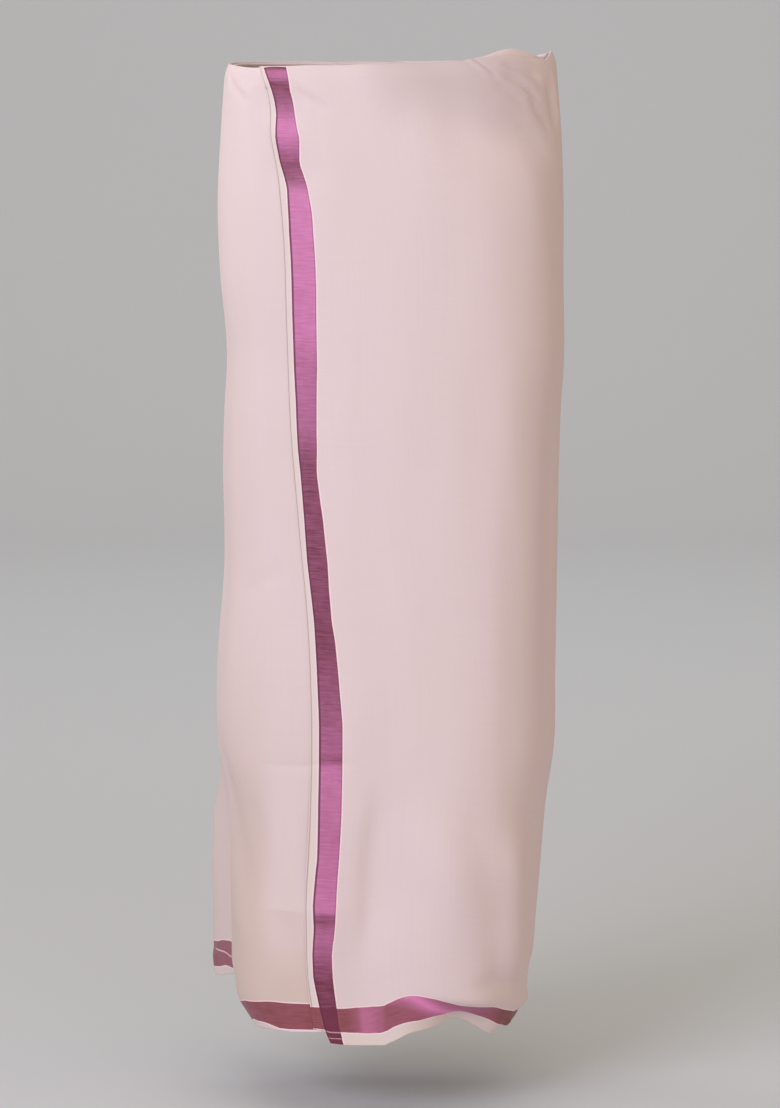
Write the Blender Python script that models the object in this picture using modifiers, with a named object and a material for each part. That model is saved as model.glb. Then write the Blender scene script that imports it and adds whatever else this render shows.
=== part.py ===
"""Worn dhoti: one unstitched cotton cloth, wound twice round the body as an ankle-length tube.

The cloth starts at the free edge of the outer flap, on the wearer's right front. It runs over the
front, round the wearer's left side, over the back and round the right side, passes under its own
flap and goes on as the hidden first turn. At the waist the surplus width is turned in.

Axes: +Z up, the garment faces -Y, the wearer's left is +X. Metres. The origin is the centre of the
waist, where the wearer holds the cloth. Angles are degrees round the body: 0 is the front, 90 the
wearer's left side, 180 the back and -90 the wearer's right side.
"""

from collections import namedtuple

import bmesh
import bpy
import numpy as np

# ---- the cloth -----------------------------------------------------------------------------------
CLOTH_LENGTH = 2.00       # woven length, all of it wound round the body
GIRTH = 0.985             # one turn of it: what is measured along the cloth is shared out by turns
WALL = 0.0012             # the cloth's wall
TURN_PITCH = 0.0026       # how far one whole turn lies inside the turn before it
INNER_SLACK = 0.0015      # extra room that the first turn takes under the flap
SEAM_GAP = 0.0003         # between two stretches of the one cloth
SELVEDGE = 0.0115         # plain margin between a long edge of the cloth and its woven band
BAND_TOP = SELVEDGE + 0.0250
END_MARGIN = 0.0090       # the same at the free edge, whose band is a little narrower
END_BAND_TOP = END_MARGIN + 0.0230
TURN_IN_DEPTH = 0.265     # surplus width that hangs inside, below the waist's roll
TURN_IN_SLACK = 0.0030    # how far that strip hangs free of the first turn
ROLL_RADIUS = 0.0013      # of the wall's middle, where the cloth turns over at the waist
ROLL_FOOT = 0.0006        # straight length of the roll, above the edge that it covers
ROLL_BENDS = (0, 60, 120)

# Shares of a turn over which the first turn comes free of the outer one, past its end: in its folds,
# its depth, its hem's height and, a little later, its waist's height.
FOLDS_EASE = 0.20
DEPTH_EASE = 0.25
HEM_EASE = 0.12
PEEP_EASE = 0.10
PEEP_DELAY = 0.02

# ---- the stretches, end to end, measured along the cloth from the free edge ----------------------
Stretch = namedtuple("Stretch", "name start end")
OUTER_STRETCHES = (
    Stretch("front_flap", 0.000, 0.430),     # to the wearer's left side
    Stretch("back_wrap", 0.430, 0.850),      # to the wearer's right side
    Stretch("under_wrap", 0.850, 1.140),     # to just past the flap's band, under the flap
)
INNER_STRETCHES = (                          # of the first turn, each with its turned-in strip
    Stretch("left", 1.140, 1.400),
    Stretch("back", 1.400, 1.625),
    Stretch("right", 1.625, CLOTH_LENGTH),
)

# ---- the worn form: a row for each height --------------------------------------------------------
Section = namedtuple("Section", "z half_width centre_x front back squareness")
SECTIONS = (
    Section(0.030, 0.1720, 0.0000, 0.115, 0.112, 0.030),   # waist
    Section(-0.055, 0.1785, 0.0005, 0.122, 0.121, 0.032),
    Section(-0.120, 0.1813, -0.0005, 0.127, 0.132, 0.034),
    Section(-0.200, 0.1808, 0.0010, 0.130, 0.139, 0.036),  # seat
    Section(-0.290, 0.1775, 0.0055, 0.131, 0.137, 0.036),
    Section(-0.350, 0.1775, 0.0022, 0.132, 0.135, 0.036),
    Section(-0.400, 0.1775, 0.0008, 0.132, 0.133, 0.036),
    Section(-0.500, 0.1760, 0.0010, 0.134, 0.132, 0.038),
    Section(-0.620, 0.1795, -0.0045, 0.138, 0.134, 0.042),
    Section(-0.700, 0.1785, -0.0050, 0.141, 0.137, 0.044),  # knees
    Section(-0.760, 0.1707, -0.0053, 0.143, 0.141, 0.044),
    Section(-0.830, 0.1667, -0.0068, 0.146, 0.145, 0.044),
    Section(-0.900, 0.1635, -0.0100, 0.148, 0.149, 0.044),
    Section(-0.945, 0.1615, -0.0110, 0.148, 0.151, 0.044),
    Section(-1.010, 0.1550, -0.0090, 0.148, 0.152, 0.044),  # hem
)

# The free edge of the flap, seen from the front: it leans towards the middle on its way down.
EdgePoint = namedtuple("EdgePoint", "z x")
FREE_EDGE = (
    EdgePoint(0.030, -0.1330),
    EdgePoint(-0.012, -0.1265),
    EdgePoint(-0.060, -0.1215),
    EdgePoint(-0.110, -0.1150),
    EdgePoint(-0.160, -0.1100),
    EdgePoint(-0.250, -0.1070),
    EdgePoint(-0.350, -0.1034),
    EdgePoint(-0.450, -0.0955),
    EdgePoint(-0.550, -0.0863),
    EdgePoint(-0.650, -0.0823),
    EdgePoint(-0.750, -0.0834),
    EdgePoint(-0.850, -0.0878),
    EdgePoint(-0.920, -0.0862),
    EdgePoint(-1.000, -0.0770),
)

# Both ends of the tube, all round: the heights of its rolled waist and of its hem, how far the first
# turn stands above the outer one, how steeply the hem's band curls in towards the legs, and how
# steeply the selvedge below it does.
Rim = namedtuple("Rim", "angle waist_z peep hem_z curl edge")
RIMS = (
    Rim(-150, 0.0175, 0.000, -0.960, 0, 0),
    Rim(-124, 0.0175, 0.000, -0.968, 0, 0),
    Rim(-110, 0.0170, 0.000, -0.9655, 4, 8),
    Rim(-100, 0.0163, 0.000, -0.958, 8, 16),
    Rim(-90, 0.0157, 0.000, -0.975, 20, 46),
    Rim(-75, 0.0145, 0.000, -1.001, 28, 68),
    Rim(-56, 0.0120, 0.000, -0.998, 18, 74),
    Rim(-42, 0.0118, 0.000, -0.993, 6, 72),
    Rim(-31, 0.0126, 0.000, -0.993, 1, 40),
    Rim(-20, 0.0135, 0.000, -0.993, 0, 0),
    Rim(-4, 0.0143, 0.000, -0.992, 0, 0),
    Rim(3, 0.0148, 0.000, -0.985, 1, 0),
    Rim(9, 0.0152, 0.000, -0.979, 6, 5),
    Rim(18, 0.0170, 0.000, -0.983, 30, 20),
    Rim(29, 0.0205, 0.002, -0.991, 62, 36),
    Rim(42, 0.0235, 0.008, -0.995, 48, 32),
    Rim(58, 0.0200, 0.009, -1.003, 26, 40),
    Rim(68, 0.0195, 0.004, -1.007, 45, 52),
    Rim(82, 0.0275, 0.000, -1.006, 52, 54),
    Rim(104, 0.0260, 0.000, -0.990, 20, 22),
    Rim(130, 0.0210, 0.000, -0.970, 0, 0),
    Rim(180, 0.0175, 0.000, -0.960, 0, 0),
)
CURL_HEIGHT = 0.046       # length of cloth above the hem that curls in
CURL_BLEND = 0.014        # of that, where the curl builds up
EDGE_BLEND = 0.006        # of the selvedge, where its own curl takes over
WAIST_LEAN = 0.0040       # how far the rolled waist leans in
WAIST_LEAN_HEIGHT = 0.018
INNER_HEM_LIFT = 0.016    # the first turn ends this much above the outer hem

# Large soft folds. Each runs from its upper point to its lower one; rise is outwards, so a trough has
# a negative one. fade is the length over which it dies out, and one that reaches the hem stays open.
Fold = namedtuple("Fold", "name top_angle top_z low_angle low_z rise width sharp fade open")
FOLDS = (
    Fold("rear_right_flare", -113, -0.650, -118, -0.880, 0.037, 0.036, 1.5, 0.205, True),
    Fold("behind_right_knee", -90, -0.680, -88, -0.860, -0.010, 0.024, 2.0, 0.150, True),
    Fold("between_the_legs", -9, -0.640, -4, -0.900, -0.012, 0.040, 2.0, 0.200, True),
    Fold("left_shin", 4, -0.700, 42, -0.930, 0.007, 0.034, 2.0, 0.120, False),
    Fold("under_left_shin", 30, -0.800, 50, -0.960, -0.006, 0.030, 2.0, 0.080, True),
    Fold("across_right_thigh", -82, -0.660, -46, -0.880, -0.005, 0.026, 2.0, 0.080, False),
    Fold("waist_hollow", 24, -0.030, 72, -0.095, -0.004, 0.040, 2.0, 0.040, False),
    Fold("left_side_drape", 70, -0.260, 66, -0.900, -0.004, 0.034, 2.0, 0.200, True),
    Fold("left_rear_pleat", 112, -0.420, 120, -0.900, 0.010, 0.034, 2.0, 0.260, True),
    Fold("beside_rear_pleat", 136, -0.480, 142, -0.900, -0.009, 0.034, 2.0, 0.240, True),
    Fold("below_the_seat", 176, -0.260, 170, -0.900, -0.012, 0.055, 2.0, 0.220, True),
    Fold("right_rear_pleat", 204, -0.340, 198, -0.900, 0.010, 0.036, 2.0, 0.260, True),
    Fold("right_rear_drape", 226, -0.400, 222, -0.900, -0.008, 0.036, 2.0, 0.240, True),
)
INNER_RIDGES = 0.72       # share of an outward fold that the first turn follows
FOLD_RADIUS = 0.155       # turns a fold's angles into a distance along the cloth

# ---- the meshes ----------------------------------------------------------------------------------
OUTER_COLUMN = 0.0145     # along the cloth
INNER_COLUMN = 0.0190
WAIST_STEP = 0.006        # between the first two rows below the waist's roll
MIDDLE_ROWS = 13          # between the waist's rows and the hem's
HEM_ROWS_HEIGHT = 0.070   # of the hem's rows, which lie close together
HEM_BAND_ROWS = (-4, -3)  # of those, the ones that lie in the woven band, from the last face row
HANGING_ROWS = (0.070, 0.120, 0.175)   # below the waist's roll, of the strip turned in
TURN_IN_BAND_ROWS = (-2,)
CURL_STEPS = 32
TURNS_SAMPLED = 3
SAMPLES_PER_TURN = 360
EDGE_ANGLES = np.linspace(-80.0, -10.0, 281)   # where the free edge is looked for
STEP = 1e-5               # for slopes

Finish = namedtuple("Finish", "name colour roughness sheen")
FINISHES = (               # a face's place here is the number of bands that cross it
    Finish("cotton", (0.80, 0.655, 0.665, 1.0), 0.82, 0.15),
    Finish("band", (0.37, 0.100, 0.235, 1.0), 0.42, 0.25),
    Finish("crossing", (0.19, 0.040, 0.100, 1.0), 0.42, 0.25),
)


def smoothstep(value):
    """0 below 0, 1 above 1, and a smooth rise between."""
    share = np.clip(value, 0.0, 1.0)
    return share * share * (3.0 - 2.0 * share)


def curve_through(at, knots, values):
    """A smooth curve through a table's column, as a cubic Hermite spline."""
    order = np.argsort(knots)
    knots, values = np.asarray(knots, float)[order], np.asarray(values, float)[order]
    slopes = np.gradient(values, knots)
    at = np.clip(at, knots[0], knots[-1])
    left = np.clip(np.searchsorted(knots, at) - 1, 0, len(knots) - 2)
    span = knots[left + 1] - knots[left]
    u = (at - knots[left]) / span
    return (values[left] * (1 + 2 * u) * (1 - u) ** 2
            + slopes[left] * span * u * (1 - u) ** 2
            + values[left + 1] * (3 - 2 * u) * u ** 2
            - slopes[left + 1] * span * (1 - u) * u ** 2)


def section_size(z, column):
    """One column of the section table, at each height z."""
    return curve_through(z, [row.z for row in SECTIONS], [getattr(row, column) for row in SECTIONS])


def rim_size(angle, column):
    """One column of the rim table, all round: the table is repeated on both sides to close it."""
    turns = [(row.angle + 360 * turn, getattr(row, column)) for turn in (-1, 0, 1) for row in RIMS]
    wrapped = (np.asarray(angle) + 180.0) % 360.0 - 180.0
    return curve_through(wrapped, [turn[0] for turn in turns], [turn[1] for turn in turns])


def ring(angle, z):
    """A point of the worn form's section, and the direction out of it, in plan."""
    a = np.radians(angle)
    square = section_size(z, "squareness")
    front, back = section_size(z, "front"), section_size(z, "back")
    half_width = section_size(z, "half_width") / (1 - square)
    half_depth = (front + back) / 2 / (1 - square)
    x = section_size(z, "centre_x") + half_width * (np.sin(a) + square * np.sin(3 * a))
    y = (back - front) / 2 - half_depth * (np.cos(a) - square * np.cos(3 * a))
    along_x = half_width * (np.cos(a) + 3 * square * np.cos(3 * a))
    along_y = half_depth * (np.sin(a) - 3 * square * np.sin(3 * a))
    length = np.hypot(along_x, along_y)
    return x, y, along_y / length, -along_x / length


def fold_rise(angle, z, turn):
    """How far the folds move the cloth out, at each place of a turn."""
    inner = smoothstep((turn - 1.0) / FOLDS_EASE)
    total = np.zeros_like(z)
    for fold in FOLDS:
        down = np.clip((fold.top_z - z) / (fold.top_z - fold.low_z), 0.0, 1.0)
        centre = fold.top_angle + (fold.low_angle - fold.top_angle) * down
        apart = (angle - centre + 180.0) % 360.0 - 180.0
        across = np.abs(np.radians(apart)) * FOLD_RADIUS / fold.width
        reach = smoothstep((fold.top_z - z) / fold.fade)
        if not fold.open:
            reach = reach * smoothstep((z - fold.low_z) / fold.fade)
        follows = 1.0 - (1.0 - INNER_RIDGES) * inner if fold.rise > 0 else 1.0
        total = total + fold.rise * follows * reach * np.exp(-across ** fold.sharp)
    return total


def hem_curl(from_hem, angle):
    """How far the hem's curl takes the cloth in, and how much height that costs it."""
    band_slope, edge_slope = (np.radians(rim_size(angle, column)) for column in ("curl", "edge"))
    along = (CURL_HEIGHT - np.clip(from_hem, 0.0, CURL_HEIGHT)) / CURL_STEPS
    inwards, raised = np.zeros_like(along), np.zeros_like(along)
    for step in range(CURL_STEPS):
        reached = along * (step + 0.5)
        at_edge = smoothstep((SELVEDGE - CURL_HEIGHT + reached) / EDGE_BLEND)
        slope = band_slope * smoothstep(reached / CURL_BLEND) * (1 - at_edge) + edge_slope * at_edge
        inwards = inwards + along * np.sin(slope)
        raised = raised + along * (1 - np.cos(slope))
    return inwards, raised


def waist_height(angle, turn):
    """The height of the rolled waist, of the outer turn and then of the first one."""
    freed = smoothstep((turn - 1.0 - PEEP_DELAY) / PEEP_EASE)
    return rim_size(angle, "waist_z") + rim_size(angle, "peep") * freed


def hem_height(angle, turn):
    """The height at which the cloth would end if its hem hung straight."""
    return rim_size(angle, "hem_z") + INNER_HEM_LIFT * smoothstep((turn - 1.0) / HEM_EASE)


def drape(angle, turn, below_waist):
    """The worn form itself: the outer face's points, before the turns are laid inside each other."""
    waist = waist_height(angle, turn)
    straight = waist - below_waist
    x, y, out_x, out_y = ring(angle, straight)
    inwards, raised = hem_curl(straight - rim_size(angle, "hem_z"), angle)
    below_outer_waist = rim_size(angle, "waist_z") - straight
    leaning = WAIST_LEAN * np.clip(1 - below_outer_waist / WAIST_LEAN_HEIGHT, 0.0, 1.5) ** 2
    move = fold_rise(angle, straight, turn) - inwards - leaning
    return np.stack((x + out_x * move, y + out_y * move, straight + raised), axis=-1)


def turn_depth(turn):
    """How deep a place of the cloth lies inside the outer face."""
    return TURN_PITCH * turn + INNER_SLACK * smoothstep((turn - 1.0) / DEPTH_EASE)


def unit(vectors):
    """The same directions, one metre long."""
    return vectors / np.linalg.norm(vectors, axis=-1, keepdims=True)


def cloth_point(angle, turn, below_waist, deeper=0.0):
    """The middle of the cloth's wall, the direction out of it and the direction up along it."""
    def slope(step_angle, step_up):
        plus = drape(angle + step_angle, turn, below_waist - step_up)
        return plus - drape(angle - step_angle, turn, below_waist + step_up)

    up = unit(slope(0.0, STEP))
    out = unit(np.cross(slope(np.degrees(STEP / FOLD_RADIUS), 0.0), up))
    depth = np.asarray(turn_depth(turn) + deeper)
    return drape(angle, turn, below_waist) - out * depth[..., None], out, up


def start_angle(below_waist_of):
    """The angle of the flap's free edge in one row, from its place as seen from the front."""
    outermost = np.zeros_like(EDGE_ANGLES)
    point = drape(EDGE_ANGLES, outermost, below_waist_of(EDGE_ANGLES, outermost))
    edge_x = curve_through(point[:, 2], [row.z for row in FREE_EDGE], [row.x for row in FREE_EDGE])
    return float(np.interp(0.0, point[:, 0] - edge_x, EDGE_ANGLES))


def angles_along(distances, below_waist_of):
    """The angle and turn of each distance along the cloth, in one row.

    Within a turn, places are spread by true length, and every row closes its turn at the same
    distance, so that the cloth's upright threads stay upright on a body that isn't a cylinder.
    """
    start = start_angle(below_waist_of)
    turn = np.linspace(0.0, TURNS_SAMPLED, TURNS_SAMPLED * SAMPLES_PER_TURN + 1)
    angle = start + 360.0 * turn
    points, _, _ = cloth_point(angle, turn, below_waist_of(angle, turn))
    lengths = np.linalg.norm(np.diff(points, axis=0), axis=1)
    run = np.concatenate(([0.0], np.cumsum(lengths)))
    whole_turns = run[::SAMPLES_PER_TURN]
    turns_run = np.interp(run, whole_turns, np.arange(len(whole_turns)))
    turns = np.interp(np.asarray(distances) / GIRTH, turns_run, turn)
    return start + 360.0 * turns, turns


def row_at(from_waist=None, from_hem=None, share=None, top=0.0, bottom=0.0):
    """A row of the cloth: a set distance from the waist or the hem, or a share of what lies between."""
    def below_waist(angle, turn):
        drop = waist_height(angle, turn) - hem_height(angle, turn)
        if from_waist is not None:
            return np.full_like(drop, from_waist)
        if from_hem is not None:
            return drop - from_hem
        return top + share * (drop - top - bottom)
    return below_waist


def waist_rows(first):
    """Distances below the rolled waist of the rows where the wall leans in."""
    return first, first + WAIST_STEP, WAIST_LEAN_HEIGHT


def wall_rows():
    """The rows of a full-height wall, top to bottom, close together where the ends bend."""
    upper = waist_rows(ROLL_RADIUS + ROLL_FOOT + SEAM_GAP)
    mid_band = (SELVEDGE + BAND_TOP) / 2
    lower = (HEM_ROWS_HEIGHT, CURL_HEIGHT, BAND_TOP, mid_band, SELVEDGE, SELVEDGE / 2, 0.0)
    rows = [row_at(from_waist=distance) for distance in upper]
    shares = [(step + 1) / (MIDDLE_ROWS + 1) for step in range(MIDDLE_ROWS)]
    rows += [row_at(share=share, top=upper[-1], bottom=lower[0]) for share in shares]
    return rows + [row_at(from_hem=distance) for distance in lower]


def columns_between(start, end, width, marks):
    """Distances along the cloth from start to end, evenly spaced between any marks."""
    stops = [start, *marks, end]
    columns = [start]
    for low, high in zip(stops, stops[1:]):
        count = max(1, round((high - low) / width))
        columns += [low + (high - low) * (step + 1) / count for step in range(count)]
    return np.array(columns)


def wall_grid(columns, rows):
    """The points of a wall: a row of the cloth at a time, top to bottom."""
    grid = []
    for below_waist in rows:
        angle, turn = angles_along(columns, below_waist)
        points, _, _ = cloth_point(angle, turn, below_waist(angle, turn))
        grid.append(points)
    return np.array(grid)


def turn_in_grid(columns):
    """The rolled waist and the strip inside it: up and over the roll, then down inside the first turn."""
    foot_row = row_at(from_waist=ROLL_RADIUS + ROLL_FOOT)
    angle, turn = angles_along(columns, foot_row)
    foot, out, up = cloth_point(angle, turn, foot_row(angle, turn))
    grid = [foot]
    centre = foot + up * ROLL_FOOT - out * ROLL_RADIUS
    for bend in np.radians(ROLL_BENDS):
        grid.append(centre + (out * np.cos(bend) + up * np.sin(bend)) * ROLL_RADIUS)
    banded = (TURN_IN_DEPTH - BAND_TOP, TURN_IN_DEPTH - SELVEDGE, TURN_IN_DEPTH)
    hanging = (*waist_rows(ROLL_RADIUS), *HANGING_ROWS, *banded)
    for distance in hanging:
        row = row_at(from_waist=distance)
        angle, turn = angles_along(columns, row)
        deeper = 2 * ROLL_RADIUS + TURN_IN_SLACK * smoothstep(distance / HANGING_ROWS[0])
        points, _, _ = cloth_point(angle, turn, row(angle, turn), deeper)
        grid.append(points)
    return np.array(grid)


def fabric(name, finish):
    """A woven finish, as a material of one wall's own."""
    material = bpy.data.materials.new(f"{name}_{finish.name}")
    material.use_nodes = True
    shader = material.node_tree.nodes["Principled BSDF"]
    shader.inputs["Base Color"].default_value = finish.colour
    shader.inputs["Roughness"].default_value = finish.roughness
    shader.inputs["Metallic"].default_value = 0.0
    shader.inputs["Sheen Weight"].default_value = finish.sheen
    return material


def cloth_wall(name, grid, collection, band_rows, band_columns=()):
    """One stretch of the cloth: a flat grid bent onto its points, then given its wall.

    The rows of faces that are band are counted from the last one; its columns from the first.
    """
    row_count, column_count = grid.shape[0] - 1, grid.shape[1] - 1
    bent = bmesh.new()
    bmesh.ops.create_grid(bent, x_segments=column_count, y_segments=row_count, size=0.5)
    for vertex in bent.verts:
        column = round((vertex.co.x + 0.5) * column_count)
        row = round((0.5 - vertex.co.y) * row_count)
        vertex.co = grid[row, column]
        vertex.index = row * (column_count + 1) + column
    for face in bent.faces:
        corners = [divmod(vertex.index, column_count + 1) for vertex in face.verts]
        in_row = min(row for row, _ in corners) - row_count in band_rows
        in_column = min(column for _, column in corners) in band_columns
        face.material_index = int(in_row) + int(in_column)
        face.smooth = True
    mesh = bpy.data.meshes.new(name)
    bent.to_mesh(mesh)
    bent.free()
    for finish in FINISHES:
        mesh.materials.append(fabric(name, finish))
    wall = bpy.data.objects.new(name, mesh)
    collection.objects.link(wall)
    thickness = wall.modifiers.new("wall", "SOLIDIFY")
    thickness.thickness = WALL
    thickness.offset = 0.0
    thickness.use_even_offset = True
    return wall


def columns_of(stretch, width):
    """Distances along one stretch, which stops half a seam's gap short where it meets another."""
    start = stretch.start + (SEAM_GAP / 2 if stretch.start > 0.0 else 0.0)
    end = stretch.end - (SEAM_GAP / 2 if stretch.end < CLOTH_LENGTH else 0.0)
    marks = (END_MARGIN, END_BAND_TOP) if stretch.start == 0.0 else ()
    return columns_between(start, end, width, marks)


def outer_turn(collection):
    """The outer turn: the flap, the back and what passes under the flap."""
    for stretch in OUTER_STRETCHES:
        columns = columns_of(stretch, OUTER_COLUMN)
        end_band = [index for index, distance in enumerate(columns[:-1])
                    if END_MARGIN - STEP < distance < END_BAND_TOP - STEP]
        grid = wall_grid(columns, wall_rows())
        cloth_wall(stretch.name, grid, collection, HEM_BAND_ROWS, end_band)


def first_turn(collection):
    """The hidden first turn, and the width that is turned in at its waist."""
    for stretch in INNER_STRETCHES:
        columns = columns_of(stretch, INNER_COLUMN)
        wall = wall_grid(columns, wall_rows())
        cloth_wall(f"inner_{stretch.name}", wall, collection, HEM_BAND_ROWS)
        turned_in = turn_in_grid(columns)
        cloth_wall(f"turn_in_{stretch.name}", turned_in, collection, TURN_IN_BAND_ROWS)


def main():
    """Clear the scene and build the garment in a collection of its own."""
    for stale in list(bpy.data.objects):
        bpy.data.objects.remove(stale, do_unlink=True)
    collection = bpy.data.collections.new("dhoti_cloth")
    bpy.context.scene.collection.children.link(collection)
    outer_turn(collection)
    first_turn(collection)


main()
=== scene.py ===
"""Looks of a worn dhoti: one pale cotton cloth with satin borders, wound twice round the body.

Metres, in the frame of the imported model: +Z up, the garment faces -Y, the wearer's left is +X, and the
origin is the middle of the waist. A place on the cloth is given by two lengths: along it, from the
free edge of the flap, and up it, from the hem. Angles are degrees round the body: 0 is the front, 90
the wearer's left side, 180 the back and -90 the wearer's right side.
"""

import logging
import math
from collections.abc import Callable, Sequence
from dataclasses import dataclass, field
from enum import Enum
from typing import NamedTuple

import bmesh
import bpy
import numpy as np
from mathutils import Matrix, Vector


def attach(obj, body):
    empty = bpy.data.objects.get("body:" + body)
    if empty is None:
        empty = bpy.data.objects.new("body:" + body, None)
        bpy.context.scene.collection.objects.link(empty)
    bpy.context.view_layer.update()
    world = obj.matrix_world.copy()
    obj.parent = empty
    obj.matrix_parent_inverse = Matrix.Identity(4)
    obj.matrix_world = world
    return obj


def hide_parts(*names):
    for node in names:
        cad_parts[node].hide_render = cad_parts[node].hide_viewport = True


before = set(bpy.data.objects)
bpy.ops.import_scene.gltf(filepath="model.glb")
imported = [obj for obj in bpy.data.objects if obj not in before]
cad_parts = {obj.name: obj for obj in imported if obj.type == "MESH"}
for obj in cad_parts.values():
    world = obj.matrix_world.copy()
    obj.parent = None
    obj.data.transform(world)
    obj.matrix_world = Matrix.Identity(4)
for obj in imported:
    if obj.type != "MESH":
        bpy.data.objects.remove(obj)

logging.basicConfig(level=logging.INFO, format="%(message)s")
LOG = logging.getLogger("dhoti")

SLOPE_STEP = 1e-5         # metres to both sides of a place, where its slopes are taken
TURN_LENGTH = 0.985       # of cloth, in a whole turn
INNER_HEM_LIFT = 0.016    # how much higher the first turn's hem lies
SELVEDGE = 0.0115         # the plain margin below the hem's band

Array = np.ndarray
Colour = tuple[float, float, float, float]
Place = tuple[float, float, float]
RowRule = Callable[[Array, Array], Array]


def table(kind: Callable, rows: Sequence[tuple]) -> tuple:
    """A table's rows, each as one of its kind."""
    return tuple(kind(*row) for row in rows)


def in_metres(value: object) -> object:
    """Lengths in millimetres as metres, also within tuples. Names and choices stay as they are."""
    if isinstance(value, tuple):
        return tuple(in_metres(part) for part in value)
    return value / 1000 if type(value) in (int, float) else value


def fine_table(kind: Callable, rows: Sequence[tuple]) -> tuple:
    """A table whose rows are given in millimetres."""
    return table(kind, in_metres(rows))


# ---- tables of the worn form ---------------------------------------------------------------------
class Section(NamedTuple):
    """The body's section at one height."""

    z: float
    half_width: float
    centre_x: float
    front: float
    back: float
    squareness: float


class EdgePoint(NamedTuple):
    """A point of the flap's free edge, seen from the front."""

    z: float
    x: float


class Rim(NamedTuple):
    """Both ends of the tube at one angle: waist, peep of the first turn, hem and the hem's curl."""

    angle: float
    waist_z: float
    peep: float
    hem_z: float
    curl: float
    edge: float


class Fold(NamedTuple):
    """A large soft fold between two points of the body, outwards if its rise is positive."""

    name: str
    top_angle: float
    top_z: float
    low_angle: float
    low_z: float
    rise: float
    width: float
    sharp: float
    fade: float
    open: bool


SECTIONS = table(Section, (
    (0.030, 0.1720, 0.0000, 0.115, 0.112, 0.030),   # waist
    (-0.055, 0.1785, 0.0005, 0.122, 0.121, 0.032),
    (-0.120, 0.1813, -0.0005, 0.127, 0.132, 0.034),
    (-0.200, 0.1808, 0.0010, 0.130, 0.139, 0.036),  # seat
    (-0.290, 0.1775, 0.0055, 0.131, 0.137, 0.036),
    (-0.350, 0.1775, 0.0022, 0.132, 0.135, 0.036),
    (-0.400, 0.1775, 0.0008, 0.132, 0.133, 0.036),
    (-0.500, 0.1760, 0.0010, 0.134, 0.132, 0.038),
    (-0.620, 0.1795, -0.0045, 0.138, 0.134, 0.042),
    (-0.700, 0.1785, -0.0050, 0.141, 0.137, 0.044),  # knees
    (-0.760, 0.1707, -0.0053, 0.143, 0.141, 0.044),
    (-0.830, 0.1667, -0.0068, 0.146, 0.145, 0.044),
    (-0.900, 0.1635, -0.0100, 0.148, 0.149, 0.044),
    (-0.945, 0.1615, -0.0110, 0.148, 0.151, 0.044),
    (-1.010, 0.1550, -0.0090, 0.148, 0.152, 0.044),  # hem
))
FREE_EDGE = table(EdgePoint, (
    (0.030, -0.1385), (0.006, -0.1320), (-0.012, -0.1272), (-0.060, -0.1215), (-0.110, -0.1150),
    (-0.160, -0.1100), (-0.250, -0.1070), (-0.350, -0.1034), (-0.450, -0.0955), (-0.550, -0.0863),
    (-0.650, -0.0823), (-0.750, -0.0834), (-0.850, -0.0878), (-0.920, -0.0862), (-1.000, -0.0770),
))
RIMS = table(Rim, (
    (-150, 0.0175, 0, -0.960, 0, 0), (-124, 0.0175, 0, -0.968, 0, 0), (-110, 0.0170, 0, -0.9655, 4, 8),
    (-100, 0.0163, 0, -0.958, 8, 16), (-90, 0.0157, 0, -0.975, 20, 46), (-75, 0.0145, 0, -1.001, 28, 68),
    (-56, 0.0120, 0, -0.998, 18, 74), (-42, 0.0118, 0, -0.993, 6, 72), (-31, 0.0126, 0, -0.993, 1, 40),
    (-20, 0.0135, 0, -0.993, 0, 0), (-4, 0.0143, 0, -0.992, 0, 0), (3, 0.0148, 0, -0.985, 1, 0),
    (9, 0.0152, 0, -0.979, 6, 5), (18, 0.0170, 0, -0.983, 30, 20), (29, 0.0205, 0.002, -0.991, 62, 36),
    (42, 0.0235, 0.008, -0.995, 48, 32), (58, 0.0200, 0.009, -1.003, 26, 40),
    (68, 0.0195, 0.004, -1.007, 45, 52), (82, 0.0275, 0, -1.006, 52, 54), (104, 0.0260, 0, -0.990, 20, 22),
    (130, 0.0210, 0, -0.970, 0, 0), (180, 0.0175, 0, -0.960, 0, 0),
))
FOLDS = table(Fold, (
    ("rear_right_flare", -113, -0.650, -118, -0.880, 0.037, 0.036, 1.5, 0.205, True),
    ("behind_right_knee", -90, -0.680, -88, -0.860, -0.010, 0.024, 2.0, 0.150, True),
    ("between_the_legs", -9, -0.640, -4, -0.900, -0.012, 0.040, 2.0, 0.200, True),
    ("left_shin", 4, -0.700, 42, -0.930, 0.007, 0.034, 2.0, 0.120, False),
    ("under_left_shin", 30, -0.800, 50, -0.960, -0.006, 0.030, 2.0, 0.080, True),
    ("across_right_thigh", -82, -0.660, -46, -0.880, -0.005, 0.026, 2.0, 0.080, False),
    ("waist_hollow", 24, -0.030, 72, -0.095, -0.004, 0.040, 2.0, 0.040, False),
    ("left_side_drape", 70, -0.260, 66, -0.900, -0.004, 0.034, 2.0, 0.200, True),
    ("left_rear_pleat", 112, -0.420, 120, -0.900, 0.010, 0.034, 2.0, 0.260, True),
    ("beside_rear_pleat", 136, -0.480, 142, -0.900, -0.009, 0.034, 2.0, 0.240, True),
    ("below_the_seat", 176, -0.260, 170, -0.900, -0.012, 0.055, 2.0, 0.220, True),
    ("right_rear_pleat", 204, -0.340, 198, -0.900, 0.010, 0.036, 2.0, 0.260, True),
    ("right_rear_drape", 226, -0.400, 222, -0.900, -0.008, 0.036, 2.0, 0.240, True),
))


# ---- the table of fine creases, in millimetres along and up the cloth -----------------------------
class Profile(Enum):
    """The shape of a crease across its line."""

    SOFT = "a rounded ridge or trough"
    CRISP = "a pressed edge"
    STEP = "the cloth stands higher on one side"


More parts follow.
